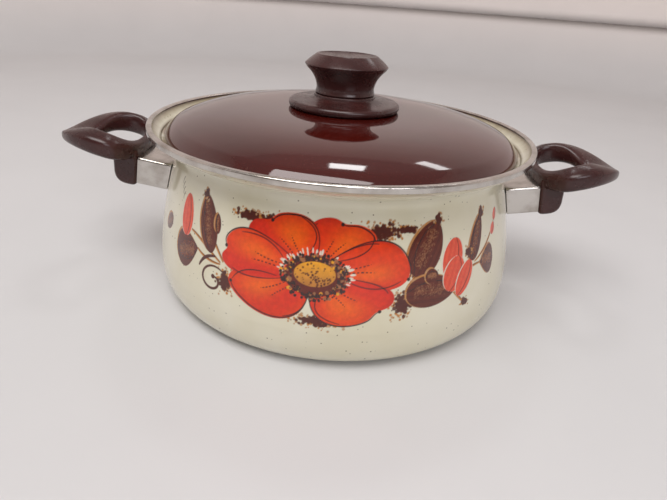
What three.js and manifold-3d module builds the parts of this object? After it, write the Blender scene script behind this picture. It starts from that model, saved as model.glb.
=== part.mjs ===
// An enamelled sheet-steel casserole with a lift-off lid and two loop handles, in millimetres.
// +Z is up, the origin is the centre of the flat base, and the handles lie along X.
import * as THREE from "three";
import { mergeVertices } from "three/addons/utils/BufferGeometryUtils.js";
import Module from "manifold-3d";

const wasm = await Module();
wasm.setup();

// ---------------------------------------------------------------- driving dimensions
// Clearances.
const restGap = 0.3; // between two pieces that touch
const boltPlay = 0.35; // round a screw's shank in a plain hole, on the radius
const lidPlay = 1.8; // from the lid's edge to the step round the ledge
const sleeveGap = 1.2; // from the end of a flame guard to the pot's wall
const guardPlay = 0.4; // round the handle's spigot inside a flame guard
const footPlay = 1.1; // from a bracket's foot to the side of the flame guard
const webPlay = 1.5; // from the bracket's web to the handle's spigot
const pocketPlay = 0.8; // round the washer in the handle's pocket

// Pot.
const rimRadius = 120; // outside of the rim band
const potHeight = 106.6; // base to the top of the rim band
const potWall = 1.6;
const flareWidth = 8.1; // rim band's outside to the step round the ledge
const ledgeWidth = 7.7;
const ledgeDrop = 7.6; // lid ledge below the top of the rim
const ledgeFall = 1.6; // the ledge slopes down to the neck
const stepHeight = 1.2;
const stepLean = 0.4;
const neckDrop = 13.9; // neck below the top of the rim
const neckBlend = 6; // the wall starts to turn outwards this far below the neck
const neckTurn = 4; // the neck has turned into the ledge this far out
const neckCrisp = 1; // how far the turn's control point lies beyond the neck
const shoulderReach = 2; // control point of the flare, past the step
const lipSweep = 3; // the flare's inner face steepens over this height
const bellyBulge = 15.3; // belly past the neck, on the radius
const bellyHeight = 25.3;
const baseInset = 20.9; // flat of the base inside the belly, on the radius
const cornerPower = 2.8; // superellipse that turns the base up into the belly
const wallPower = 1.5; // how the wall leans in from the belly to the neck

// Rim band, a stainless channel folded over the pot's edge.
const bandWall = 0.6;
const bandHeight = 3.4;
const bandWidth = 3.4;
const bandCorner = 1; // outer edge
const bandInnerCorner = 0.8;
const bandLip = 0.6; // the folded lip reaches this far below the pot's edge

// Lid.
const lidWall = 1.2;
const skirtLean = 4.7; // crease inside the lid's edge, on the radius
const lidCreaseRise = 7.3; // crease above the bottom edge of the lid
const creaseRound = 0.6;
const domeRise = 10; // top of the dome above the crease
const domePower = 5; // a flat top that turns down near the crease
const lidRoll = 1.5; // radius of the rolled bottom edge

// Knob and its collar.
const collarRadius = 35;
const collarEdge = 5.2; // thickness at the collar's rounded edge
const collarRound = 1.2;
const collarHeight = 8.4; // at the middle, above the lid
const collarNeckStep = 1.2; // collar's neck past the knob's neck, on the radius
const knobNeckRadius = 18;
const knobFootStep = 0.6; // bead round the knob's bottom, past the neck
const knobFootHeight = 1.6;
const knobNeckRise = 3.6; // neck and widest point above the knob's bottom
const knobRadius = 25.6;
const knobRadiusRise = 16.8;
const knobHeight = 22.9;
const knobShoulder = 2.6; // the side turns over this far below the top
const knobUndercut = 2.2; // the sharp under-edge starts this far below the widest point
const knobDishRadius = 18.1;
const knobDishDepth = 1.6;
const insertWall = 2.2;
const insertLength = 14;

// Screws, nuts and washers.
const shankRadius = 2.5;
const headLip = 2.3; // head past the shank, on the radius
const headHeight = 2.8;
const slotWidth = 1.2;
const slotDepth = 1.3;
const screwPoint = 0.8; // chamfer at the screw's end
const washerLip = 0.8; // washer past the screw's head, on the radius
const washerThickness = 1;
const gasketLip = 1.9; // gasket past the washer, on the radius
const gasketThickness = 1.2;
const nutWall = 1.8; // nut's corners past its hole
const nutThickness = 4;
const screwReach = 1; // the screw comes this far through the nut

// Handle fittings. Their own frame starts on the wall: +X runs outwards and +Z upwards.
const handleDrop = 39.6; // middle of the fitting below the top of the rim
const handleTilt = THREE.MathUtils.degToRad(9); // outwards and up
const guardLength = 20.5;
const guardWidth = 35;
const guardDepth = 18;
const guardWall = 0.9;
const guardCorner = 1.6;
const bracketSheet = 1.8;
const bracketWidth = 18;
const bracketDepth = 11;
const bracketCorner = 0.5;

// Handle.
const bossThickness = 16;
const bossOverhang = 2; // the boss stands proud of the flame guard
const bossCorner = 3;
const bossToe = 7; // rounding of the boss's outer bottom edge
const bossTop = 13.5;
const bossTopFall = 3.5; // the boss's top slopes down, outwards, under the finger gap
const spigotLength = 3.5;
const loopHalfWidth = 35;
const loopReach = 36.7; // tip past the boss
const loopTaper = 36.5; // the loop is widest this far inside its tip
const bridgeWidth = 5; // the loop where it crosses the boss
const armWidth = 12;
const tipWidth = 18.5; // the loop's width at its tip
const loopBottom = 9.6;
const armHeight = 15.2;
const armRise = 2.5; // the arms rise outwards
const bridgeHeight = 10.5;
const tipBottom = 6.5;
const tipHeight = 8;
const topSlant = 0.25; // how much the top face falls outwards from the finger gap
const tipSharpness = 1.05; // 1 is a round tip
const potSquareness = 0.85; // 1 is a round end at the boss
const sectionSquareness = 0.75; // 1 is a round section
const pocketDepth = 5;
const pocketRoof = 1; // left over the screw's pocket, under the finger gap

// Mesh fineness.
const bodySegments = 56;
const knobSegments = 32;
const boltSegments = 16;
const loopSegments = 44;
const sectionSegments = 14;

// ---------------------------------------------------------------- materials
function finish(colour, roughness, metalness) {
  return new THREE.MeshStandardMaterial({ color: colour, roughness, metalness });
}

const creamEnamel = () => finish("#beb8a2", 0.25, 0);
const maroonEnamel = () => finish("#4e1c17", 0.15, 0);
const brownBakelite = () => finish("#46302f", 0.3, 0);
const stainless = () => finish("#9c9590", 0.3, 1);
const zincSteel = () => finish("#a8a8a4", 0.45, 1);
const brass = () => finish("#b58d3d", 0.35, 1);
const fibre = () => finish("#7a2f22", 0.8, 0);

// ---------------------------------------------------------------- sizes that follow
const ledgeRadius = rimRadius - flareWidth;
const ledgeInnerRadius = ledgeRadius - ledgeWidth;
const neckRadius = ledgeInnerRadius - potWall; // where the wall turns out into the flare
const neckHeight = potHeight - neckDrop;
const bellyRadius = neckRadius + bellyBulge;
const baseRadius = bellyRadius - baseInset;
const lidRadius = ledgeRadius - lidPlay;
const lidCreaseRadius = lidRadius - skirtLean;
const insertRadius = shankRadius + restGap + insertWall;
const headRadius = shankRadius + headLip;
const washerRadius = headRadius + washerLip;
const gasketRadius = washerRadius + gasketLip;
const nutCornerRadius = shankRadius + restGap + nutWall;
const handleHeight = potHeight - handleDrop;
const bracketReach = guardLength - spigotLength - webPlay; // outer face of the bracket's web
const footWidth = (guardWidth - bracketWidth) / 2 - guardWall - footPlay;

// ---------------------------------------------------------------- geometry helpers
function meshOf(name, geometry, material) {
  const mesh = new THREE.Mesh(geometry, material);
  mesh.name = name;
  return mesh;
}

// A body of revolution about Z. The profile runs anticlockwise in (radius, height).
function revolve(profile, segments) {
  const points = profile.map(([radius, height]) => new THREE.Vector2(radius, height));
  return new THREE.LatheGeometry(points, segments).rotateX(Math.PI / 2);
}

// Points on a bend from one profile point to another, with both ends left out.
function bend(from, corner, to, steps) {
  const curve = new THREE.QuadraticBezierCurve(
    new THREE.Vector2(...from),
    new THREE.Vector2(...corner),
    new THREE.Vector2(...to),
  );
  return curve
    .getPoints(steps)
    .slice(1, -1)
    .map((point) => [point.x, point.y]);
}

// Values from start to end in equal steps, with both ends.
function spread(start, end, steps) {
  return Array.from({ length: steps + 1 }, (_, step) => start + ((end - start) * step) / steps);
}

function solidOf(geometry) {
  const bare = geometry.clone();
  bare.deleteAttribute("normal");
  bare.deleteAttribute("uv");
  const merged = mergeVertices(bare);
  const corners = merged.index.array;
  const triVerts = [];
  for (let i = 0; i < corners.length; i += 3) {
    const [a, b, c] = corners.slice(i, i + 3);
    if (a !== b && b !== c && c !== a) triVerts.push(a, b, c);
  }
  const vertProperties = merged.getAttribute("position").array;
  return new wasm.Manifold(
    new wasm.Mesh({ numProp: 3, vertProperties, triVerts: new Uint32Array(triVerts) }),
  );
}

function geometryOf(solid) {
  const { vertProperties, triVerts } = solid.getMesh();
  const geometry = new THREE.BufferGeometry();
  geometry.setAttribute("position", new THREE.BufferAttribute(vertProperties, 3));
  geometry.setIndex(new THREE.BufferAttribute(triVerts, 1));
  geometry.computeVertexNormals();
  return geometry;
}

// A round bar along X, from one end to the other.
function barAlongX(radius, from, to) {
  return new THREE.CylinderGeometry(radius, radius, to - from, boltSegments)
    .rotateZ(-Math.PI / 2)
    .translate((from + to) / 2, 0, 0);
}

function roundedRectangle(width, height, corner) {
  const [x, y] = [width / 2, height / 2];
  const shape = new THREE.Shape();
  shape.moveTo(-x + corner, -y);
  shape.lineTo(x - corner, -y);
  shape.absarc(x - corner, -y + corner, corner, -Math.PI / 2, 0);
  shape.lineTo(x, y - corner);
  shape.absarc(x - corner, y - corner, corner, 0, Math.PI / 2);
  shape.lineTo(-x + corner, y);
  shape.absarc(-x + corner, y - corner, corner, Math.PI / 2, Math.PI);
  shape.lineTo(-x, -y + corner);
  shape.absarc(-x + corner, -y + corner, corner, Math.PI, Math.PI * 1.5);
  return shape;
}

// A rounded bar along X: width lies along Y and height along Z.
function blockAlongX(width, height, corner, from, to) {
  return new THREE.ExtrudeGeometry(roundedRectangle(width, height, corner), {
    depth: to - from,
    bevelEnabled: false,
    curveSegments: 4,
  })
    .rotateY(Math.PI / 2)
    .rotateX(Math.PI / 2)
    .translate(from, 0, 0);
}

// ---------------------------------------------------------------- pot
// Outside radius of the pot's wall at a height between the base and the neck.
function wallRadius(height) {
  if (height <= bellyHeight) {
    const down = (bellyHeight - height) / bellyHeight;
    const out = (1 - down ** cornerPower) ** (1 / cornerPower);
    return baseRadius + (bellyRadius - baseRadius) * out;
  }
  const up = (height - bellyHeight) / (neckHeight - bellyHeight);
  return bellyRadius - (bellyRadius - neckRadius) * up ** wallPower;
}

// The wall's outline from the base corner to just below the neck, moved out by an offset.
function wallOutline(offset, steps) {
  const corner = spread(0, Math.PI / 2, steps).map((angle) => {
    const height = bellyHeight * (1 - Math.cos(angle) ** (2 / cornerPower));
    return [wallRadius(height) + offset, Math.max(height - offset, -offset)];
  });
  const wall = spread(bellyHeight, neckHeight - neckBlend, steps).slice(1);
  return [...corner, ...wall.map((height) => [wallRadius(height) + offset, height])];
}

const edgeTop = potHeight - bandWall - restGap;
const edgeRadius = rimRadius - bandWall - restGap;
const ledgeTop = potHeight - ledgeDrop;

function potBody() {
  const outerFlareTop = [edgeRadius, potHeight - bandHeight - restGap];
  const flareRoot = [neckRadius + neckTurn, ledgeTop - ledgeFall - potWall];
  const outer = wallOutline(0, 6);
  const inner = wallOutline(-potWall, 6).reverse();
  const edgeInner = [edgeRadius - potWall, edgeTop];
  const stepTop = [ledgeRadius + stepLean, ledgeTop + stepHeight];
  const ledgeInner = [ledgeInnerRadius, ledgeTop - ledgeFall];
  const neckOutside = [neckRadius - neckCrisp, neckHeight + neckCrisp];
  const neckInside = [neckRadius - potWall - neckCrisp, neckHeight + neckCrisp];
  const shoulder = [ledgeRadius + shoulderReach, ledgeTop - potWall];
  const sweep = [edgeInner[0] - neckCrisp, edgeTop - lipSweep];
  const profile = [
    [0, 0],
    ...outer,
    ...bend(outer.at(-1), neckOutside, flareRoot, 4),
    flareRoot,
    ...bend(flareRoot, shoulder, outerFlareTop, 3),
    outerFlareTop,
    [edgeRadius, edgeTop],
    edgeInner,
    ...bend(edgeInner, sweep, stepTop, 3),
    stepTop,
    [ledgeRadius, ledgeTop],
    ledgeInner,
    ...bend(ledgeInner, neckInside, inner[0], 3),
    ...inner,
    [0, potWall],
  ];
  return meshOf("pot_body", revolve(profile, bodySegments), creamEnamel());
}

function rimBand() {
  const outer = rimRadius;
  const inner = rimRadius - bandWidth;
  const top = potHeight;
  const skirt = potHeight - bandHeight;
  const lip = top - bandWall - restGap - bandLip;
  const profile = [
    [outer - bandWall, skirt],
    [outer, skirt],
    [outer, top - bandCorner],
    ...bend([outer, top - bandCorner], [outer, top], [outer - bandCorner, top], 2),
    [outer - bandCorner, top],
    [inner + bandInnerCorner, top],
    [inner, top - bandInnerCorner],
    [inner, lip],
    [inner + bandWall / 2, lip],
    [inner + bandWall, top - bandWall],
    [outer - bandWall, top - bandWall],
    [outer - bandWall, skirt],
  ];
  return meshOf("rim_band", revolve(profile, bodySegments), stainless());
}

// ---------------------------------------------------------------- lid
const ledgeSlope = ledgeFall / ledgeWidth;
const lidBottom = ledgeTop - ledgeSlope * (ledgeRadius - lidRadius) + restGap;
const creaseHeight = lidBottom + lidCreaseRise;
const knobHoleRadius = shankRadius + boltPlay;

function domeHeight(radius) {
  return creaseHeight + domeRise * (1 - (radius / lidCreaseRadius) ** domePower);
}

function lidShell() {
  const innerCrease = lidCreaseRadius - lidWall;
  const rollHeight = lidBottom + lidRoll;
  const rollRadius = lidRadius - lidRoll;
  const outwards = spread(knobHoleRadius, innerCrease - creaseRound, 9);
  const inwards = spread(lidCreaseRadius - creaseRound, knobHoleRadius, 9);
  const roll = spread(-Math.PI * 0.75, Math.PI * 0.25, 5);
  const profile = [
    ...outwards.map((radius) => [radius, domeHeight(radius) - lidWall]),
    [innerCrease, creaseHeight - lidWall - creaseRound],
    [rollRadius - lidWall, rollHeight + lidWall / 2],
    ...roll.map((angle) => [
      rollRadius + lidRoll * Math.cos(angle),
      rollHeight + lidRoll * Math.sin(angle),
    ]),
    [lidCreaseRadius + creaseRound, creaseHeight - creaseRound],
    ...inwards.map((radius) => [radius, domeHeight(radius)]),
    [knobHoleRadius, domeHeight(knobHoleRadius) - lidWall],
  ];
  return meshOf("lid_shell", revolve(profile, bodySegments), maroonEnamel());
}

const collarBottom = domeHeight(0) + restGap;
const collarTop = collarBottom + collarHeight;
const knobBottom = collarTop + restGap;
const insertHoleRadius = insertRadius + restGap;

function knobCollar() {
  const collarNeckRadius = knobNeckRadius + collarNeckStep;
  const edgeBottom = domeHeight(collarRadius) + restGap;
  const edgeTopHeight = edgeBottom + collarEdge;
  const underside = spread(knobHoleRadius, collarRadius - collarRound, 4);
  const neckFoot = [collarNeckRadius, collarTop - 2 * collarRound];
  const brim = [collarRadius - collarRound, edgeTopHeight];
  const brimSweep = [collarNeckRadius + collarRound, edgeTopHeight + collarRound / 2];
  const profile = [
    ...underside.map((radius) => [radius, domeHeight(radius) + restGap]),
    [collarRadius, edgeBottom + collarRound / 2],
    [collarRadius, edgeTopHeight - collarRound / 2],
    brim,
    ...bend(brim, brimSweep, neckFoot, 5),
    neckFoot,
    [collarNeckRadius - collarRound / 2, collarTop],
    [knobHoleRadius, collarTop],
    [knobHoleRadius, domeHeight(knobHoleRadius) + restGap],
  ];
  return meshOf("knob_collar", revolve(profile, knobSegments), brownBakelite());
}

function knob() {
  const top = knobBottom + knobHeight;
  const foot = knobNeckRadius + knobFootStep;
  const neck = [knobNeckRadius, knobBottom + knobNeckRise];
  const wideHeight = knobBottom + knobRadiusRise;
  const under = [knobRadius - knobUndercut / 2, wideHeight - knobUndercut];
  const waist = [knobNeckRadius + knobFootStep / 2, (neck[1] + wideHeight) / 2];
  const wide = [knobRadius, wideHeight];
  const shoulder = [knobRadius - knobShoulder / 3, top - knobShoulder];
  const crown = [knobDishRadius + knobFootStep, top - knobDishDepth / 4];
  const holeTop = knobBottom + insertLength + restGap;
  const profile = [
    [0, holeTop],
    [insertHoleRadius, holeTop],
    [insertHoleRadius, knobBottom],
    [foot - knobFootHeight / 2, knobBottom],
    [foot, knobBottom + knobFootHeight / 2],
    [foot, knobBottom + knobFootHeight],
    neck,
    ...bend(neck, waist, under, 5),
    under,
    wide,
    ...bend(wide, shoulder, crown, 4),
    crown,
    [knobDishRadius, top],
    [knobDishRadius - knobDishDepth, top - knobDishDepth / 3],
    [knobDishRadius / 2, top - knobDishDepth * 0.9],
    [0, top - knobDishDepth],
  ];
  return meshOf("lid_knob", revolve(profile, knobSegments), brownBakelite());
}

// ---------------------------------------------------------------- fasteners
// A flat ring with its axis along X, from x = 0 outwards.
function ring(outerRadius, innerRadius, thickness, sides = boltSegments) {
  const outline = new THREE.Shape();
  outline.absarc(0, 0, outerRadius, 0, Math.PI * 2);
  const hole = new THREE.Path();
  hole.absarc(0, 0, innerRadius, 0, Math.PI * 2, true);
  outline.holes.push(hole);
  return new THREE.ExtrudeGeometry(outline, {
    depth: thickness,
    bevelEnabled: false,
    curveSegments: sides / 2,
  }).rotateY(Math.PI / 2);
}

// A hexagon nut with its axis along X, from x = 0 outwards.
function hexagonNut() {
  const outline = new THREE.Shape(
    spread(0, Math.PI * 2, 6)
      .slice(1)
      .map((angle) => new THREE.Vector2(Math.cos(angle), Math.sin(angle)))
      .map((corner) => corner.multiplyScalar(nutCornerRadius)),
  );
  const hole = new THREE.Path();
  hole.absarc(0, 0, shankRadius + restGap, 0, Math.PI * 2, true);
  outline.holes.push(hole);
  return new THREE.ExtrudeGeometry(outline, {
    depth: nutThickness,
    bevelEnabled: false,
    curveSegments: boltSegments / 2,
  }).rotateY(Math.PI / 2);
}

// A slotted pan-head screw along X: its head bears at x = 0 and its shank runs to x = length.
function screw(length) {
  const profile = [
    [0, -length],
    [shankRadius - screwPoint / 2, -length],
    [shankRadius, -length + screwPoint],
    [shankRadius, 0],
    [headRadius, 0],
    [headRadius, headHeight / 2],
    ...bend([headRadius, headHeight / 2], [headRadius, headHeight], [0, headHeight], 3),
    [0, headHeight],
  ];
  const blank = revolve(profile, boltSegments).rotateY(-Math.PI / 2);
  const slot = new THREE.BoxGeometry(slotDepth * 2, headRadius * 3, slotWidth);
  slot.translate(-headHeight, 0, 0);
  return geometryOf(solidOf(blank).subtract(solidOf(slot)));
}

function knobInsert() {
  const profile = [
    [shankRadius + restGap, knobBottom + restGap],
    [insertRadius, knobBottom + restGap],
    [insertRadius, knobBottom + insertLength],
    [shankRadius + restGap, knobBottom + insertLength],
    [shankRadius + restGap, knobBottom + restGap],
  ];
  return meshOf("knob_insert", revolve(profile, boltSegments), brass());
}

// The gasket, the washer and the screw hang one below the other under the lid's middle.
function knobFixings() {
  const gasketTop = domeHeight(gasketRadius) - lidWall - restGap;
  const washerTop = gasketTop - gasketThickness - restGap;
  const headTop = washerTop - washerThickness - restGap;
  const reach = knobBottom + insertLength - restGap - headTop;
  const gasketRing = ring(gasketRadius, knobHoleRadius, gasketThickness);
  const gasket = meshOf("knob_gasket", gasketRing, fibre());
  const washer = meshOf(
    "knob_washer",
    ring(washerRadius, knobHoleRadius, washerThickness),
    zincSteel(),
  );
  const bolt = meshOf("knob_screw", screw(reach), zincSteel());
  gasket.position.z = gasketTop;
  washer.position.z = washerTop;
  bolt.position.z = headTop;
  gasket.rotation.y = Math.PI / 2;
  washer.rotation.y = Math.PI / 2;
  bolt.rotation.y = -Math.PI / 2;
  return [gasket, washer, bolt];
}

// ---------------------------------------------------------------- handle fittings
const wallAtHandle = wallRadius(handleHeight);

// The frame of one handle's fitting, on the wall and tilted square to it.
function fittingFrame() {
  const frame = new THREE.Group();
  frame.position.set(wallAtHandle, 0, handleHeight);
  frame.rotation.y = -handleTilt;
  frame.updateMatrix();
  return frame;
}

// The pot's wall moved out by an offset, as a solid in the fitting's frame.
function wallCutter(offset) {
  const outline = wallOutline(offset, 6);
  const profile = [[0, outline[0][1]], ...outline, [0, outline.at(-1)[1]]];
  const toFitting = fittingFrame().matrix.clone().invert();
  return solidOf(revolve(profile, bodySegments).applyMatrix4(toFitting));
}

const insideWall = -12; // fittings start here, inside the wall, before they are trimmed to it

function flameGuard(side) {
  const outer = blockAlongX(guardWidth, guardDepth, guardCorner, insideWall, guardLength);
  const inner = blockAlongX(
    guardWidth - 2 * guardWall,
    guardDepth - 2 * guardWall,
    guardCorner - guardWall,
    insideWall - 1,
    guardLength + 1,
  );
  const sleeve = solidOf(outer).subtract(solidOf(inner)).subtract(wallCutter(sleeveGap));
  return meshOf(`${side}_flame_guard`, geometryOf(sleeve), stainless());
}

// A sheet stirrup: a web with a hole, two legs, and two feet that lie on the wall.
function bracket(side) {
  const innerWidth = bracketWidth - 2 * bracketSheet;
  const webInside = bracketReach - bracketSheet;
  const outer = blockAlongX(bracketWidth, bracketDepth, bracketCorner, insideWall, bracketReach);
  const inner = new THREE.BoxGeometry(webInside - insideWall + 1, innerWidth, bracketDepth * 2);
  inner.translate((webInside + insideWall - 1) / 2, 0, 0);
  const hole = barAlongX(shankRadius + boltPlay, 0, bracketReach + 1);
  const stirrup = solidOf(outer)
    .subtract(solidOf(inner))
    .subtract(solidOf(hole))
    .subtract(wallCutter(restGap));
  const footSpan = bracketWidth + 2 * footWidth;
  const footBlock = new THREE.BoxGeometry(-insideWall * 2, footSpan, bracketDepth);
  const footGap = new THREE.BoxGeometry(-insideWall * 4, innerWidth, bracketDepth * 2);
  const feet = solidOf(footBlock)
    .intersect(wallCutter(restGap + bracketSheet))
    .subtract(wallCutter(restGap))
    .subtract(solidOf(footGap));
  return meshOf(`${side}_bracket`, geometryOf(stirrup.add(feet)), zincSteel());
}

// ---------------------------------------------------------------- handles
const bossInside = guardLength + restGap;
const bossOutside = bossInside + bossThickness;
const pocketFloor = bossOutside - pocketDepth;
const loopTip = bossOutside + loopReach;
const loopWidest = loopTip - loopTaper;

// A closed egg-shaped path round the finger gap, pointed at the tip.
function eggPoint(along, reachIn, reachOut, halfWidth) {
  const [cosine, sine] = [Math.cos(along), Math.sin(along)];
  const outwards = cosine > 0;
  const x = outwards ? reachOut * cosine : -reachIn * (-cosine) ** potSquareness;
  const power = outwards ? tipSharpness : potSquareness;
  const y = halfWidth * Math.sign(sine) * Math.abs(sine) ** power;
  return new THREE.Vector2(loopWidest + x, y);
}

// The outline of the loop and of the finger gap, at an angle along the loop.
function loopOutside(along) {
  return eggPoint(along, loopWidest - bossInside, loopTaper, loopHalfWidth);
}

function gapOutline(along) {
  const reachIn = loopWidest - bossInside - bridgeWidth;
  return eggPoint(along, reachIn, loopTaper - tipWidth, loopHalfWidth - armWidth);
}

// A point on the loop, from its angle along the loop and its angle round the section.
function loopPoint(along, around) {
  const outside = loopOutside(along);
  const inside = gapOutline(along);
  const toTip = Math.max(0, Math.cos(along)) ** 3;
  const toPot = Math.max(0, -Math.cos(along)) ** 2;
  const rise = armRise * Math.cos(along) * (1 - toTip);
  const bottom = loopBottom + (tipBottom - loopBottom) * toTip + rise;
  const height =
    armHeight + (tipHeight - armHeight) * toTip + (bridgeHeight - armHeight) * toPot;
  const square = (value) => Math.sign(value) * Math.abs(value) ** sectionSquareness;
  const out = square(Math.cos(around));
  const up = square(Math.sin(around));
  const slant = up > 0 ? 1 - topSlant * (1 + out) : 1;
  const plan = inside.clone().lerp(outside, (1 + out) / 2);
  return new THREE.Vector3(plan.x, plan.y, bottom + ((1 + up * slant) * height) / 2);
}

function loop() {
  const geometry = new THREE.TorusGeometry(1, 0.5, sectionSegments, loopSegments);
  const position = geometry.getAttribute("position");
  for (let i = 0; i < position.count; i += 1) {
    const [x, y, z] = [position.getX(i), position.getY(i), position.getZ(i)];
    const along = Math.atan2(y, x);
    const around = Math.atan2(z, Math.hypot(x, y) - 1);
    position.setXYZ(i, ...loopPoint(along, around));
  }
  return geometry;
}

// The boss stands on the flame guard's end and carries the loop.
function boss() {
  const inside = bossInside + bossCorner;
  const outside = bossOutside - bossCorner;
  const bottom = -guardDepth / 2 - bossOverhang + bossCorner;
  const top = bossTop - bossCorner;
  const toeInside = outside - bossToe;
  const outline = new THREE.Shape();
  outline.moveTo(inside, bottom);
  outline.lineTo(toeInside, bottom);
  outline.quadraticCurveTo(outside - bossToe / 4, bottom, outside - bossToe / 5, bottom + bossToe);
  outline.lineTo(outside, top - bossTopFall);
  outline.lineTo(inside, top);
  const width = guardWidth - 2 * bossCorner + bossOverhang;
  return new THREE.ExtrudeGeometry(outline, {
    depth: width,
    bevelThickness: bossCorner,
    bevelSize: bossCorner,
    bevelSegments: 2,
    curveSegments: 4,
  })
    .rotateX(Math.PI / 2)
    .translate(0, width / 2, 0);
}

// What the finger gap cuts out of the boss, down to the roof of the screw's pocket.
function gapScoop() {
  const outline = new THREE.Shape(spread(0, Math.PI * 2, loopSegments).slice(1).map(gapOutline));
  const floor = washerRadius + pocketPlay + pocketRoof;
  return new THREE.ExtrudeGeometry(outline, { depth: bossTop, bevelEnabled: false }).translate(
    0,
    0,
    floor,
  );
}

function handle(side) {
  const spigot = blockAlongX(
    guardWidth - 2 * (guardWall + guardPlay),
    guardDepth - 2 * (guardWall + guardPlay),
    guardCorner,
    guardLength - spigotLength,
    bossInside + bossCorner,
  );
  const hole = barAlongX(shankRadius + boltPlay, 0, bossOutside);
  const pocket = barAlongX(washerRadius + pocketPlay, pocketFloor, bossOutside + 5);
  const body = solidOf(loop())
    .add(solidOf(boss()).subtract(solidOf(gapScoop())))
    .add(solidOf(spigot))
    .subtract(solidOf(hole))
    .subtract(solidOf(pocket));
  return meshOf(`${side}_handle`, geometryOf(body), brownBakelite());
}

function handleFixings(side) {
  const washerInside = pocketFloor + restGap;
  const headInside = washerInside + washerThickness + restGap;
  const nutInside = bracketReach - bracketSheet - restGap - nutThickness;
  const washer = meshOf(
    `${side}_handle_washer`,
    ring(washerRadius, shankRadius + boltPlay, washerThickness),
    zincSteel(),
  );
  const nut = meshOf(`${side}_handle_nut`, hexagonNut(), zincSteel());
  const bolt = meshOf(`${side}_handle_screw`, screw(headInside - nutInside + screwReach), zincSteel());
  washer.position.x = washerInside;
  nut.position.x = nutInside;
  bolt.position.x = headInside;
  bolt.rotation.y = Math.PI;
  return [washer, nut, bolt];
}

function handleSet(side, turn) {
  const fitting = fittingFrame();
  fitting.add(flameGuard(side), bracket(side), handle(side), ...handleFixings(side));
  const turned = new THREE.Group();
  turned.rotation.z = turn;
  turned.add(fitting);
  return turned;
}

// ---------------------------------------------------------------- casserole
function pot() {
  const group = new THREE.Group();
  group.add(potBody(), rimBand(), handleSet("right", 0), handleSet("left", Math.PI));
  return group;
}

function lid() {
  const group = new THREE.Group();
  group.add(lidShell(), knobCollar(), knob(), knobInsert(), ...knobFixings());
  return group;
}

const casserole = new THREE.Group();
casserole.add(pot(), lid());

export default casserole;
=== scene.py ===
# %% [markdown]
# # An enamelled casserole in Blender
# The pot is pressed from sheet steel and coated in vitreous enamel, which is a thin layer of glass.
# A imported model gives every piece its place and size. This lesson builds the fine surfaces over that
# frame: the enamel, a printed flower spray, the steel band, the moulded handles and the studio.
# Sizes are written in millimetres and turned into metres by one factor.

# %% Load the frame
import math
import random

import bmesh
import bpy
import numpy as np
from mathutils import Matrix, Vector


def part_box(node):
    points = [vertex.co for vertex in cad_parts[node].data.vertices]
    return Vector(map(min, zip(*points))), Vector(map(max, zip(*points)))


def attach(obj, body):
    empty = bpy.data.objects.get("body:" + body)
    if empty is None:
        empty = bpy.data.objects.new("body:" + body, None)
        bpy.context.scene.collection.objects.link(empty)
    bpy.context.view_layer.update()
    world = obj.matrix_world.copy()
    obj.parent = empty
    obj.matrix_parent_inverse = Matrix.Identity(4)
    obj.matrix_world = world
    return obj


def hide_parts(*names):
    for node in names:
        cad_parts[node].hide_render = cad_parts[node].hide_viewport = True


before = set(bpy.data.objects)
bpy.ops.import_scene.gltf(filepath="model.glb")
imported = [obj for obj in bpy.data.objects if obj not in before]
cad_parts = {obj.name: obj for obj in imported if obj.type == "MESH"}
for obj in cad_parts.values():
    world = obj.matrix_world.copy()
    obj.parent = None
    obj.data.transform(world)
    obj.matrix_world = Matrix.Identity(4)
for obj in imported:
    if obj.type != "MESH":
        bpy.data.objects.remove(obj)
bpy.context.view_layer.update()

MM = 0.001

# %% [markdown]
# ## Reading sizes from the frame
# A piece that replaces a frame part has to fill the same space. So the radii and heights that matter
# are read from the frame's boxes here, and only the small shapes between them are listed.

# %% Sizes from the frame
def reach(node):
    """The largest radius and the lowest and highest points of a round piece, in millimetres."""
    low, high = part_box(node)
    return high[0] / MM, low[2] / MM, high[2] / MM


RIM_RADIUS, _, POT_HEIGHT = reach("rim_band")
LID_RADIUS, LID_BOTTOM, _ = reach("lid_shell")
COLLAR_RADIUS, _, COLLAR_TOP = reach("knob_collar")
KNOB_RADIUS, KNOB_BOTTOM, KNOB_TOP = reach("lid_knob")
print(f"rim {RIM_RADIUS:.1f}, height {POT_HEIGHT:.1f}, lid {LID_RADIUS:.1f}, knob top {KNOB_TOP:.1f}")

# %% [markdown]
# ## Colours and nodes
# Every colour is picked as an sRGB hex value, because that is how paint charts give it. Blender works
# in linear light, so one function converts it. One more function adds a shader node with its settings
# and links, which keeps each material short enough to read.

# %% Colour and node helpers
def linear(hex_colour, alpha=1.0):
    """An sRGB hex colour as linear light, with alpha."""
    channels = [int(hex_colour[i:i + 2], 16) / 255 for i in (1, 3, 5)]
    return [c / 12.92 if c <= 0.04045 else ((c + 0.055) / 1.055) ** 2.4 for c in channels] + [alpha]


def add_node(tree, kind, settings=None, inputs=None):
    """Adds one node. Inputs are values, or sockets of other nodes to link from."""
    node = tree.nodes.new(kind)
    for key, value in (settings or {}).items():
        setattr(node, key, value)
    for key, value in (inputs or {}).items():
        if isinstance(value, bpy.types.NodeSocket):
            tree.links.new(value, node.inputs[key])
        else:
            node.inputs[key].default_value = value
    return node


def new_material(name):
    """An empty material with a Principled shader and object coordinates."""
    material = bpy.data.materials.new(name)
    material.use_nodes = True
    tree = material.node_tree
    tree.nodes.clear()
    shader = add_node(tree, "ShaderNodeBsdfPrincipled")
    output = add_node(tree, "ShaderNodeOutputMaterial", inputs={"Surface": shader.outputs[0]})
    output.location = (300, 0)
    place = add_node(tree, "ShaderNodeTexCoord").outputs["Object"]
    return material, tree, shader, place


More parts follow.
